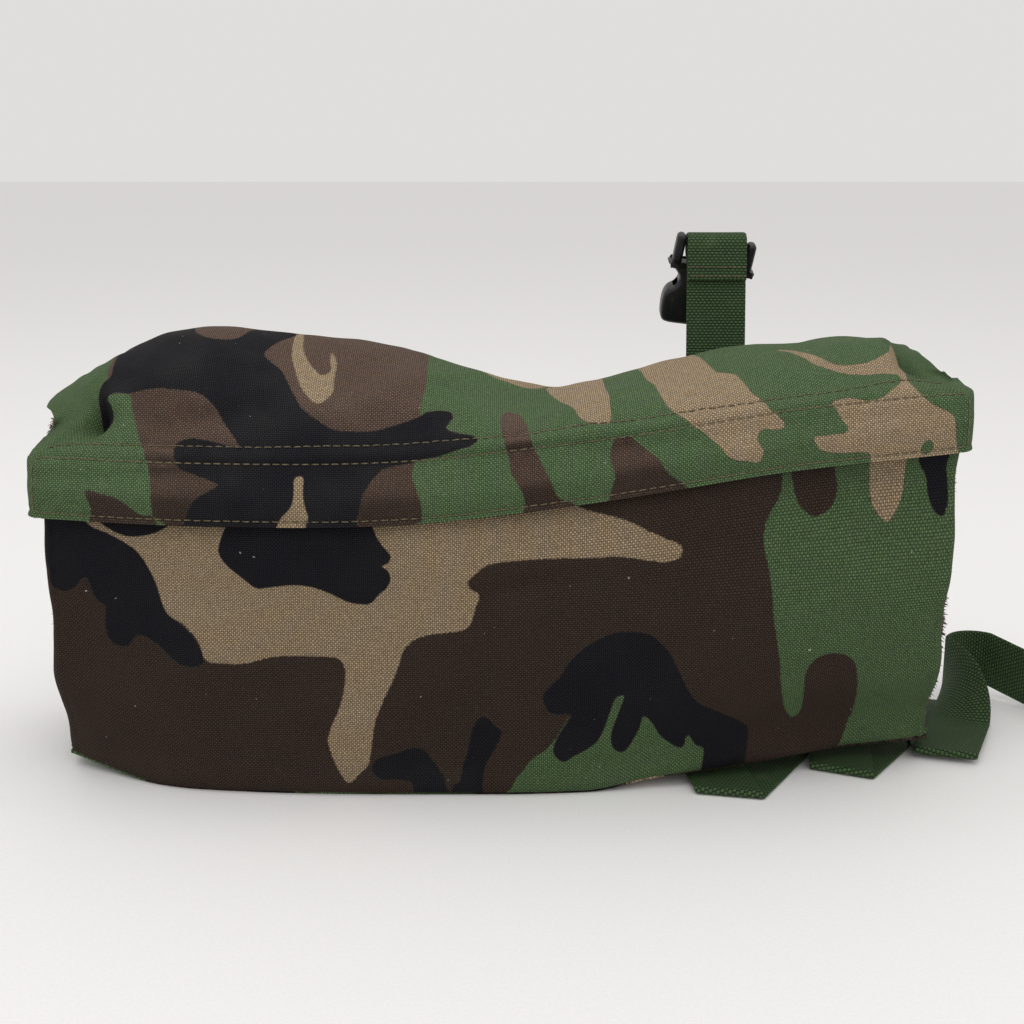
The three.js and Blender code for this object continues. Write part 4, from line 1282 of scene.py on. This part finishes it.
class MUFF_OT_socket(bpy.types.Operator):
    """Hangs the buckle's socket half on the short belt end"""

    bl_idname = "muff.socket"
    bl_label = "Buckle socket"

    def execute(self, context):
        hang, askew = 0.3, 0.15
        place = shifted(0, 0, 0)
        place[:3, :3] = turned((1, 0, 0), hang)[:3, :3] @ turned((0, 1, 0), askew)[:3, :3]
        place[:3, 3] = np.array(frame_joint("socket_swing")["pos_m"]) / MM
        socket = buckle_piece("buckle_socket_moulding", socket_parts(), place)
        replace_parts(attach(socket, "socket"), "buckle_socket")
        return {"FINISHED"}


# ---------------------------------------------------------------- cloth of the top and flap
def around_corner(c, straight, radius):
    """Cloth that runs straight, then round an upright corner, then back: x, how far back, how far past."""
    over = np.maximum(np.abs(c) - straight, 0)
    angle = np.minimum(over / radius, np.pi / 2)
    past = np.maximum(over - radius * np.pi / 2, 0)
    x = np.sign(c) * (np.minimum(np.abs(c), straight) + radius * np.sin(angle))
    return x, radius * (1 - np.cos(angle)), past


FLAP_STRAIGHT = 172.5
FLAP_CORNER = 7.0
FLAP_RETURN = 21.0  # how far the flap's boxed ends run back
END_FROM = 150.0  # the cloth's ends are drawn in beyond this


def flap_profile(x):
    """The (y, z) points that the flap's cloth passes, from its hem up to its seam."""
    hy, hz, sy, sz = hem_y(x), hem_z(x), seam_y(x), seam_z(x)
    return [(hy, hz), (hy - 0.9, hz + 10), (sy - 4.4, sz - 10), (sy - 1.5, sz - 2.5)]


def top_profile(x):
    """The (y, z) points that the top's cloth passes, from above the seam over the crest to the back."""
    sy, sz, crest, back = seam_y(x), seam_z(x), crest_z(x), back_y(x)
    rise = crest - sz
    return [
        (sy + 12, sz + 0.42 * rise), (WALL_Y + 3 + 0 * x, sz + 0.84 * rise), (back - 40, crest),
        (back - 20, crest - 4.5), (back - 6, crest - 19),
    ]


TOP_FOLDS = [
    (-60, 40, -20, 78, 2.2, 9), (10, 34, 22, 92, -2.6, 11), (34, 30, 62, 84, 1.8, 8),
    (-150, 44, -108, 70, 2.4, 8), (-128, 38, -84, 50, -1.6, 6), (96, 44, 150, 72, 1.4, 9),
    (120, 34, 168, 46, -1.2, 6), (-30, 12, 40, 16, -0.5, 6), (-172, 34, -138, 44, -2.4, 6),
    (-182, 46, -160, 66, 2.0, 7), (150, 60, 176, 78, 1.6, 7),
]


def top_cloth():
    """One length of cloth from the flap's hem, over the seam and crest, to the top of the back.

    Columns run along the muff. Each row is a place on the joined profiles of flap and top. At its ends the
    flap's part turns an upright corner and runs back as the boxed end; the top's part runs on straight to the
    cuff, and between the two the cloth tucks in. Waves, folds and puckers move it along its normals."""
    corner = FLAP_CORNER * np.pi / 2 + FLAP_RETURN
    reach = FLAP_STRAIGHT + corner
    c = np.concatenate([
        np.linspace(-reach, -FLAP_STRAIGHT, 30, endpoint=False),
        np.linspace(-FLAP_STRAIGHT, FLAP_STRAIGHT, 262),
        np.linspace(FLAP_STRAIGHT, reach, 31)[1:],
    ])
    v = np.concatenate([np.linspace(0, 0.44, 40, endpoint=False), np.linspace(0.44, 1, 82)])
    c, v = np.meshgrid(c, v, indexing="ij")
    turned_x, back_by, past = around_corner(c, FLAP_STRAIGHT, FLAP_CORNER)
    level = smooth_step((v - 0.36) / 0.17)
    end = np.where(c < 0, top_end_left(v), top_end_right(v))
    spread = np.clip(np.abs(c) - END_FROM, 0, None) / (reach - END_FROM)
    straight_x = np.sign(c) * (np.minimum(np.abs(c), END_FROM) + spread * (end - END_FROM))
    x = turned_x * (1 - level) + straight_x * level
    y, z = on_profile(flap_profile(x) + top_profile(x), v)
    run_back = (back_by + past * (0.95 - 0.1 * v)) * (1 - level)
    y = y + run_back
    sag = 3.2 * np.sin(np.pi * np.clip(past / FLAP_RETURN, 0, 1)) * (1 - level)
    grid = np.stack([x + np.sign(c) * 0.35 * sag, y, z - 0.6 * sag * (1 - v)], -1)
    s = arc(grid, 1)
    normal = normals_of(grid)
    up = np.clip((s - lower_row(c)) / 20, 0, 1)
    hem = smooth_step(s / 6)
    relief = 0.9 * waves(c, s, SEED, 64) * (0.3 * hem + up) + 0.35 * waves(c, s, SEED + 1, 21) * up
    relief = relief + creases(c, s, TOP_FOLDS)
    rows = lower_row(c), upper_row(c)
    gather = 1 + 0.6 * np.sin(c * 0.9 + 1.7 * np.sin(c * 0.13))
    for row in rows:
        relief -= 0.42 * np.exp(-(((s - row) / 1.1) ** 2)) * gather
    relief += 0.45 * np.exp(-(((s - (rows[0] + rows[1]) / 2) / 2.4) ** 2))
    relief -= 0.32 * np.exp(-(((s - 2.2) / 0.8) ** 2)) * gather
    relief += 0.35 * np.exp(-((s / 1.2) ** 2))
    box_seam = np.abs(np.abs(c) - FLAP_STRAIGHT - 1.0)
    relief -= 0.6 * np.exp(-((box_seam / 1.0) ** 2)) * (1 - level)
    relief -= 9 * np.exp(-(((c + 156) / 7) ** 2) - (((s - 43) / 6.5) ** 2))
    relief -= 4 * np.exp(-(((c - 168) / 7) ** 2) - (((s - 46) / 8) ** 2))
    grid = grid + normal * relief[..., None]
    return {"grid": grid, "normal": normals_of(grid), "c": c, "s": s, "v": v}


def flap_blend(piece):
    """Bakes the piece's transform into its mesh. It reads the flap's hinge from the frame, but does not bend
    the cloth with it.
    """
    joint = frame_joint("flap_lift")
    place, axis = np.array(joint["pos_m"]), np.array(joint["axis"], float)
    down = np.array([axis[2], 0, -axis[0]])
    if down[2] > 0:
        down = -down
    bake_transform(piece)
    return piece


def part_of(cloth, rows, columns, near, far, name, slot):
    """A layer under or over part of a cloth: the same points, shifted along its normals by near and far."""
    grid, normal = cloth["grid"][rows, columns], cloth["normal"][rows, columns]
    uv = np.stack([cloth["c"][rows, columns], cloth["s"][rows, columns]], -1)
    fields = {"wear_and_painted_light": np.zeros(grid.shape[:2])}
    if slot == "camo_cloth":
        fields.update(print_fields(uv[..., 0], uv[..., 1] + 40, moved_print(POCKET_PRINT, 40, 0, -1)))
    return shell(name, grid + near * normal, grid + far * normal, finish_of(slot), uv, fields)


def line_at(cloth, c_low, c_high, s_at, lift=0.0, count=180):
    """A line along a cloth at a distance s from its first edge, with its normals."""
    c_line = np.linspace(c_low, c_high, count)
    a = np.interp(c_line, cloth["c"][:, 0], np.arange(cloth["c"].shape[0]))
    target = s_at if np.ndim(s_at) else np.full(count, float(s_at))
    every_row = np.arange(cloth["s"].shape[1], dtype=float)[None]
    s_here = sample(cloth["s"][..., None], a[:, None], every_row)[..., 0]
    below = np.clip((s_here < target[:, None]).sum(1) - 1, 0, s_here.shape[1] - 2)
    pick = np.arange(count)
    start, stop = s_here[pick, below], s_here[pick, below + 1]
    b = below + (target - start) / np.maximum(stop - start, 1e-6)
    normal = sample(cloth["normal"], a, b)
    return sample(cloth["grid"], a, b) + normal * lift, normal


def line_up(cloth, c_at, s_low, s_high, lift=0.0, count=60):
    """A line up a cloth at one place along it, with its normals."""
    a = np.full(count, np.interp(c_at, cloth["c"][:, 0], np.arange(cloth["c"].shape[0])))
    s_here = cloth["s"][int(a[0])]
    b = np.interp(np.linspace(s_low, s_high, count), s_here, np.arange(len(s_here)))
    normal = sample(cloth["normal"], a, b)
    return sample(cloth["grid"], a, b) + normal * lift, normal


class MUFF_OT_top_and_flap(bpy.types.Operator):
    """Makes the cloth that covers the top and runs on as the storm flap, with its facing and hook tape"""

    bl_idname = "muff.top_and_flap"
    bl_label = "Top and storm flap"

    def execute(self, context):
        cloth = top_cloth()
        uv = np.stack([cloth["c"], cloth["s"]], -1)
        fields = print_fields(uv[..., 0], uv[..., 1], TOP_PRINT)
        # Painted light: the field rises where the cloth faces up, towards the overhead lamp.
        up = np.clip(cloth["normal"][..., 2], 0, 1)
        fields["wear_and_painted_light"] = 0.55 + 0.45 * up
        thick = np.where(cloth["s"] < 9, 1.5, 1.15)[..., None]
        inner = cloth["grid"] - cloth["normal"] * thick
        piece = shell("top_and_flap_cloth", cloth["grid"], inner, finish_of("camo_cloth"), uv, fields)
        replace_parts(piece, "muff_top_panel", "flap_face", "flap_end_left", "flap_end_right")
        flap_blend(piece)
        c = cloth["c"][:, 0]
        inside = slice(int((c < -170).sum()), int((c < 170).sum()))
        low = int((cloth["v"][0] < 0.012).sum())
        high = int((cloth["v"][0] < 0.27).sum())
        facing = part_of(cloth, inside, slice(low, high), -1.7, -2.4, "flap_facing_cloth", "camo_cloth")
        flap_blend(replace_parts(facing, "flap_facing"))
        tape = slice(int((c < -TAPE_HALF).sum()), int((c < TAPE_HALF).sum()))
        low, high = int((cloth["v"][0] < 0.07).sum()), int((cloth["v"][0] < 0.22).sum())
        hook = part_of(cloth, tape, slice(low, high), -2.6, -3.6, "flap_hook_tape", "hook_loop")
        flap_blend(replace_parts(hook, "hook_tape"))
        spread = np.linspace(-176, 176, 180)
        rows = [line_at(cloth, -176, 176, row(spread), 0.1) for row in (lower_row, upper_row)]
        sew("flap_seam_stitches", rows, "muff")
        hem = [line_at(cloth, -176, 176, 2.2, 0.1)]
        hem += [line_up(cloth, side * (FLAP_STRAIGHT + 3.4), 2.0, 22, 0.1) for side in (-1, 1)]
        flap_blend(sew("flap_hem_stitches", hem))
        return {"FINISHED"}


# ---------------------------------------------------------------- pocket
POCKET_STRAIGHT = 171.0
POCKET_CORNER = 4.6
MOUTH = 14.0


def pocket_profile(x):
    """The (y, z) points that the pocket's front passes, from under its foot up to its mouth."""
    foot, belly, base = foot_y(x), belly_y(x), base_z(x)
    hy, hz, sy, sz = hem_y(x), hem_z(x), seam_y(x), seam_z(x)
    return [
        (foot + 4.5, base + 0.7), (foot - 0.4, base + 2.2), (foot - 2.5, base + 16),
        (0.4 * foot + 0.6 * belly - 1, 44 + 0 * x), (belly, 74 + 0 * x), (np.maximum(belly, hy) + 1, hz - 10),
        (hy + 6.6, hz + 3), ((hy + sy) / 2 + 6, sz - MOUTH),
    ]


POCKET_FOLDS = [
    (-12, 84, 44, 93, -1.6, 5), (-14, 90, 60, 99, 1.3, 6), (60, 100, 120, 106, -0.9, 7),
    (60, 60, 86, 34, 1.5, 10), (104, 112, 150, 84, 1.5, 9), (96, 92, 152, 60, -1.5, 9),
    (118, 70, 166, 92, 1.4, 8), (134, 40, 168, 66, -1.0, 8), (-160, 30, -120, 70, 1.2, 12),
    (-150, 92, -96, 76, -1.0, 9), (-168, 50, -150, 88, -1.4, 7), (-60, 20, -10, 52, 1.0, 14),
    (-110, 112, -40, 106, 0.8, 7), (20, 20, 70, 12, 0.7, 7), (-168, 16, -140, 34, 1.4, 8),
    (150, 14, 170, 40, 1.3, 7),
]


def pocket_cloth():
    """The pocket's front with its two gussets: rows climb the profile from under the foot to the mouth, and
    columns run along the front, round the upright corners and back to the front wall."""
    corner = POCKET_CORNER * np.pi / 2
    c = np.concatenate([
        np.linspace(-POCKET_STRAIGHT - corner - 24, -POCKET_STRAIGHT, 30, endpoint=False),
        np.linspace(-POCKET_STRAIGHT, POCKET_STRAIGHT, 262),
        np.linspace(POCKET_STRAIGHT, POCKET_STRAIGHT + corner + 24, 31)[1:],
    ])
    v = np.linspace(0, 1, 118)
    c, v = np.meshgrid(c, v, indexing="ij")
    x, back_by, past = around_corner(c, POCKET_STRAIGHT, POCKET_CORNER)
    y, z = on_profile(pocket_profile(x), v)
    depth = wall_y(x) - CLOTH - 2 * GAP - y - POCKET_CORNER
    y = y + back_by + past / 24 * np.maximum(depth, 0.5)
    grid = np.stack([x, y, z], -1)
    middle = np.take(arc(grid, 1), [c.shape[0] // 2], 0)
    s = np.broadcast_to(middle, c.shape).copy()
    normal = normals_of(grid)
    calm = smooth_step(z / 14) * smooth_step((1 - v) / 0.12)
    relief = (1.1 * waves(c, z, SEED + 3, 88) + 0.35 * waves(c, z, SEED + 4, 26)) * calm
    relief = relief + creases(c, z, POCKET_FOLDS) * calm
    edge = np.abs(np.abs(c) - POCKET_STRAIGHT - corner / 2)
    relief -= 0.5 * np.exp(-(((edge - 3.6) / 1.2) ** 2)) * (1 + 0.5 * np.sin(z * 0.8))
    sway = 1.3 * waves(z, z * 0, SEED + 6, 70) * np.exp(-(((np.abs(c) - 176) / 16) ** 2)) * calm
    relief = np.minimum(relief, 3.0) + sway
    grid = grid + normal * relief[..., None]
    return {"grid": grid, "normal": normals_of(grid), "c": c, "s": s, "v": v, "z": z}


class MUFF_OT_pocket(bpy.types.Operator):
    """Makes the cargo pocket's front with its gussets, its hem band and its loop tape"""

    bl_idname = "muff.pocket"
    bl_label = "Cargo pocket"

    def execute(self, context):
        cloth = pocket_cloth()
        uv = np.stack([cloth["c"], cloth["s"]], -1)
        fields = print_fields(cloth["c"], cloth["z"], POCKET_PRINT)
        # Painted light: the field rises where the cloth faces up; it is also raised along a band near the
        # bottom, z about 8.
        relief = np.clip(cloth["normal"][..., 2] * 2, 0, 1)
        fields["wear_and_painted_light"] = 0.22 + 0.3 * relief + 0.25 * np.exp(-((cloth["z"] - 8) / 7) ** 2)
        inner = cloth["grid"] - cloth["normal"] * 1.4
        piece = shell("pocket_front_cloth", cloth["grid"], inner, finish_of("camo_cloth"), uv, fields)
        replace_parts(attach(piece, "muff"), "pocket_front_panel", "pocket_gusset_left", "pocket_gusset_right")
        c, v = cloth["c"][:, 0], cloth["v"][0]
        inside = slice(int((c < -168).sum()), int((c < 168).sum()))
        top_rows = slice(int((v < 0.88).sum()), len(v) - 1)
        band = part_of(cloth, inside, top_rows, -1.9, -2.9, "pocket_hem_cloth", "camo_cloth")
        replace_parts(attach(band, "muff"), "pocket_hem_band")
        tape = slice(int((c < -TAPE_HALF).sum()), int((c < TAPE_HALF).sum()))
        tape_rows = slice(int((v < 0.87).sum()), int((v < 0.97).sum()))
        loop = part_of(cloth, tape, tape_rows, 0.15, 1.1, "pocket_loop_tape", "hook_loop")
        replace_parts(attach(loop, "muff"), "loop_tape")
        top = float(cloth["s"][0, -1])
        lines = [line_at(cloth, -172, 172, top - 3, 0.1)]
        for side in (-1, 1):
            lines.append(line_up(cloth, side * (POCKET_STRAIGHT + 9.5), 8, top - 4, 0.1, 120))
        sew("pocket_stitches", lines, "muff")
        return {"FINISHED"}


# ---------------------------------------------------------------- back, underside and inner wall
BACK_HALF = TUBE_HALF + 1.5


def back_profile(x):
    """The (y, z) points that the back's cloth passes, from the crest down to the underside."""
    back, crest = back_y(x), crest_z(x)
    flat = [(back, z + 0 * x) for z in (108, 84, 60, 36)]
    foot = [(back - 1.5, 18 + 0 * x), (back - 6, base_z(x) + 3)]
    return [(back - 6.5, crest - 20), (back - 0.8, crest - 33), *flat, *foot]


class MUFF_OT_back_and_underside(bpy.types.Operator):
    """Makes the back panel, the underside and the wall between tube and pocket"""

    bl_idname = "muff.back"
    bl_label = "Back and underside"

    def execute(self, context):
        c, v = np.meshgrid(np.linspace(-BACK_HALF, BACK_HALF, 200), np.linspace(0, 1, 92), indexing="ij")
        y, z = on_profile(back_profile(c), v)
        grid = np.stack([c, y, z], -1)
        calm = smooth_step(v / 0.1) * smooth_step((1 - v) / 0.1)
        near_anchor = 1 - 0.9 * np.exp(-(((np.abs(c) - STRAP_X) / 17) ** 2))
        relief = -0.7 + 0.9 * waves(c, z, SEED + 8, 90) + 0.3 * waves(c, z, SEED + 9, 28)
        relief = relief * calm * near_anchor
        relief -= 0.5 * np.exp(-(((v - 0.04) / 0.012) ** 2))
        grid = grid + normals_of(grid) * np.minimum(relief, 0.8)[..., None]
        cloth = {"grid": grid, "normal": normals_of(grid), "c": c, "s": arc(grid, 1), "v": v}
        uv = np.stack([c, cloth["s"]], -1)
        patches = moved_print(POCKET_PRINT, 20, 150, -1, -1) + moved_print(POCKET_PRINT, -60, 40)
        fields = print_fields(c, z, patches)
        # The field peaks near z 140, the back's top edge, so the print is painted paler there.
        fields["wear_and_painted_light"] = 0.3 + 0.3 * np.exp(-((z - 140) / 20) ** 2)
        inner = grid - cloth["normal"] * 1.3
        back = shell("back_cloth", grid, inner, finish_of("camo_cloth"), uv, fields)
        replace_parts(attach(back, "muff"), "muff_back_panel")
        high = float(cloth["s"].min(0)[-1])
        lines = [line_at(cloth, 4 - BACK_HALF, BACK_HALF - 4, rise, 0.1) for rise in (5.0, high - 5)]
        lines += [line_up(cloth, side * (BACK_HALF - 4.5), 4, high - 4, 0.1, 100) for side in (-1, 1)]
        sew("back_stitches", lines, "muff")

        c, v = np.meshgrid(np.linspace(-175.5, 175.5, 180), np.linspace(0, 1, 44), indexing="ij")
        foot, sag = foot_y(c), 0.15 * (1 - np.cos(2 * np.pi * v))
        grid = np.stack([c, foot + 1.2 + (42 - foot) * v, base_z(c) + sag], -1)
        uv = grid[..., :2].copy()
        fields = print_fields(c, grid[..., 1] + 90, moved_print(POCKET_PRINT, 0, 30, -1))
        fields["wear_and_painted_light"] = np.full(c.shape, 0.5)
        under = shell("underside_cloth", grid, grid + [0, 0, 1.3], finish_of("camo_cloth"), uv, fields)
        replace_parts(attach(under, "muff"), "muff_bottom_panel")

        c, v = np.meshgrid(np.linspace(-TUBE_HALF, TUBE_HALF, 150), np.linspace(0, 1, 50), indexing="ij")
        low = base_z(c) + CLOTH + 1.4
        grid = np.stack([c, wall_y(c), low + (crest_z(c) - 16 - low) * v], -1)
        relief = 0.35 * (waves(c, v * 150, SEED + 11, 60) - 1)
        front = grid + normals_of(grid) * relief[..., None]
        front[..., 1] -= 0.3
        uv = np.stack([c, v * 150], -1)
        fields = print_fields(c, v * 150, moved_print(POCKET_PRINT, -30, 10))
        fields["wear_and_painted_light"] = np.full(c.shape, 0.15)
        wall = shell("inner_wall_cloth", front, front + [0, -1.0, 0], finish_of("camo_cloth"), uv, fields)
        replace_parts(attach(wall, "muff"), "muff_front_wall")
        return {"FINISHED"}


# ---------------------------------------------------------------- lining and cuffs
BATTING = 5.0
PILE_INSET = BATTING + GAP
PILE = 4.0


def tube_loop(x, turn, inset, roundness=0.8):
    """A rounded oblong between the front wall and the back: a circle's sine and cosine to a power."""
    angle = 2 * np.pi * turn
    front, back = wall_y(x) + GAP, back_y(x) - CLOTH - 1.2
    low, high = base_z(x) + CLOTH + 1.4, crest_z(x) - CLOTH - 5
    side = np.sign(np.cos(angle)) * np.abs(np.cos(angle)) ** roundness
    rise = np.sign(np.sin(angle)) * np.abs(np.sin(angle)) ** roundness
    y = (front + back) / 2 + ((back - front) / 2 - inset) * side
    z = (low + high) / 2 + ((high - low) / 2 - inset) * rise
    return np.stack([np.broadcast_to(x, y.shape), y, z], -1)


def tufts(points, ways, seed, length):
    """Small locks of hair: four-sided blades that taper and bend along a way, a little at random."""
    rng = np.random.default_rng(seed)
    n = len(points)
    way = ways + rng.normal(0, 0.35, (n, 3))
    way /= np.linalg.norm(way, axis=1, keepdims=True)
    side = np.cross(way, rng.normal(0, 1, (n, 3)))
    side /= np.linalg.norm(side, axis=1, keepdims=True)
    other = np.cross(way, side)
    curl = rng.normal(0, 0.3, (n, 1)) * side + np.array([0, 0, -0.22])
    tall = length * rng.uniform(0.45, 1.0, (n, 1))
    rings = []
    for t, wide in ((0.0, 0.34), (0.35, 0.3), (0.7, 0.18), (1.0, 0.03)):
        centre = points + way * tall * t + curl * tall * t * t
        for a, b in ((1, 0), (0, 0.6), (-1, 0), (0, -0.6)):
            rings.append(centre + wide * (a * side + b * other))
    mesh_points = np.stack(rings, 1).reshape(-1, 3)
    one = grid_quads(4, 4, wrap=True)
    one = np.concatenate([one, [[0, 1, 2, 3], [15, 14, 13, 12]]])
    starts = np.arange(n)[:, None, None] * 16
    return mesh_points, (one[None] + starts).reshape(-1, 4)


class MUFF_OT_lining(bpy.types.Operator):
    """Lines the hand tube with pile over insulation, and rolls its cuffs at both openings"""

    bl_idname = "muff.lining"
    bl_label = "Lining and cuffs"

    def execute(self, context):
        x, turn = np.meshgrid(np.linspace(-TUBE_HALF, TUBE_HALF, 150), np.arange(168) / 168, indexing="ij")
        fuzz = 0.45 * waves(x, turn * 420, SEED + 20, 15) + 0.35 * waves(x, turn * 420, SEED + 21, 6)
        inner = tube_loop(x, turn, PILE_INSET + PILE - 0.8 + fuzz)
        outer = tube_loop(x, turn, PILE_INSET)
        pile = ring_sleeve("pile_lining_fur", outer, inner, finish_of("pile"))
        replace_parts(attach(pile, "muff"), "pile_lining")

        x, turn = np.meshgrid(np.linspace(-TUBE_HALF, TUBE_HALF, 60), np.arange(96) / 96, indexing="ij")
        quilted = 0.35 * np.abs(np.sin(x * np.pi / 31))
        outer, inner = tube_loop(x, turn, 0.4 - quilted), tube_loop(x, turn, BATTING)
        batting = ring_sleeve("insulation_quilt", outer, inner, finish_of("wadding"))
        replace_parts(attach(batting, "muff"), "insulation_batting")

        rng = np.random.default_rng(SEED + 30)
        for name, side in (("left", -1), ("right", 1)):
            roll, turn = np.meshgrid(np.arange(28) / 28, np.arange(200) / 200, indexing="ij")
            angle = 2 * np.pi * roll
            centre = side * (TUBE_HALF + 3.2)
            x = centre + side * 3.2 * np.sin(angle)
            fuzz = 0.4 * waves(roll * 30, turn * 420, SEED + 24 + side, 14)
            fuzz += 0.3 * waves(roll * 30, turn * 420, SEED + 27, 5)
            inset = 4.3 - 5.2 * np.cos(angle)
            rim = tube_loop(centre, turn, inset - fuzz * np.cos(angle))
            rim[..., 0] = x + fuzz * side * np.sin(angle)
            points = rim.reshape(-1, 3)
            i, j = np.meshgrid(np.arange(28), np.arange(200), indexing="ij")
            ni, nj = (i + 1) % 28, (j + 1) % 200
            quads = np.stack([i * 200 + j, ni * 200 + j, ni * 200 + nj, i * 200 + nj], -1).reshape(-1, 4)
            cuff = make_piece(f"cuff_{name}_roll", points, quads, finish_of("pile"))
            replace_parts(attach(cuff, "muff"), f"cuff_{name}")
            reach = np.linspace(TUBE_HALF - 18, TUBE_HALF + 0.5, 14) * side
            x, turn = np.meshgrid(reach, np.arange(200) / 200, indexing="ij")
            fuzz = 0.4 * waves(x, turn * 420, SEED + 25, 12)
            outside, under = tube_loop(x, turn, -0.7 - 0.5 * fuzz), tube_loop(x, turn, 0.4)
            if side < 0:
                outside, under = outside[::-1], under[::-1]
            back_turn = ring_sleeve(f"cuff_{name}_turned_back", outside, under, finish_of("pile"))
            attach(back_turn, "muff")
            count = 2600
            where, spin = rng.uniform(0, 1, count), rng.uniform(-0.15, 0.62, count)
            angle = 2 * np.pi * spin
            roots = tube_loop(np.full(count, centre), where, 4.3 - 4.9 * np.cos(angle))
            roots[:, 0] = centre + side * 2.9 * np.sin(angle)
            middle = np.full(count, centre)
            outward = tube_loop(middle, where, -1.0) - tube_loop(middle, where, 1.0)
            outward /= np.linalg.norm(outward, axis=1, keepdims=True)
            ways = outward * np.cos(angle)[:, None] + np.array([side, 0, 0]) * np.abs(np.sin(angle))[:, None]
            points, quads = tufts(roots, ways, SEED + 31 + side, 2.4)
            hair = make_piece(f"cuff_{name}_tufts", points, quads, finish_of("pile"), sharp=180)
            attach(hair, "muff")
            turn, across = np.meshgrid(np.arange(160) / 160, np.linspace(0, 1, 8), indexing="ij")
            turn, across = turn.T, across.T
            wide = tube_loop(np.full(turn.shape, side * (TUBE_HALF - 1.0)), turn, -2.0, 0.5)
            tight = tube_loop(np.full(turn.shape, side * (TUBE_HALF + 1.2)), turn, 1.5, 0.8)
            face = wide + (tight - wide) * across[..., None]
            face[..., 0] += side * 0.8 * np.sin(np.pi * across)
            uv = np.stack([turn * 420, across * 9], -1)
            back = face.copy()
            back[..., 0] -= side * 0.9
            binding = ring_sleeve(f"end_binding_{name}", face, back, finish_of("camo_cloth"), uv)
            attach(binding, "muff")
        return {"FINISHED"}


# ---------------------------------------------------------------- add-on
class MUFF_PT_panel(bpy.types.Panel):
    """Lists the steps that build the muff"""

    bl_label = "Hand warmer muff"
    bl_idname = "MUFF_PT_panel"
    bl_space_type = "VIEW_3D"
    bl_region_type = "UI"
    bl_category = "Muff"

    def draw(self, context):
        for group in (context.scene.muff_colours, context.scene.muff_sizes):
            box = self.layout.box()
            for key in group.__annotations__:
                box.prop(group, key)
        for step in STEPS:
            self.layout.operator(step.bl_idname)


STEPS = (
    MUFF_OT_stage, MUFF_OT_long_belt, MUFF_OT_short_belt, MUFF_OT_socket, MUFF_OT_top_and_flap,
    MUFF_OT_pocket, MUFF_OT_back_and_underside, MUFF_OT_lining,
)
CLASSES = (MuffColours, MuffSizes, *STEPS, MUFF_PT_panel)


def register():
    for item in CLASSES:
        bpy.utils.register_class(item)
    bpy.types.Scene.muff_colours = bpy.props.PointerProperty(type=MuffColours)
    bpy.types.Scene.muff_sizes = bpy.props.PointerProperty(type=MuffSizes)


def unregister():
    del bpy.types.Scene.muff_colours
    del bpy.types.Scene.muff_sizes
    for item in reversed(CLASSES):
        bpy.utils.unregister_class(item)


def main():
    register()
    for step in STEPS:
        group, name = step.bl_idname.split(".")
        getattr(getattr(bpy.ops, group), name)()


if __name__ == "__main__":
    main()
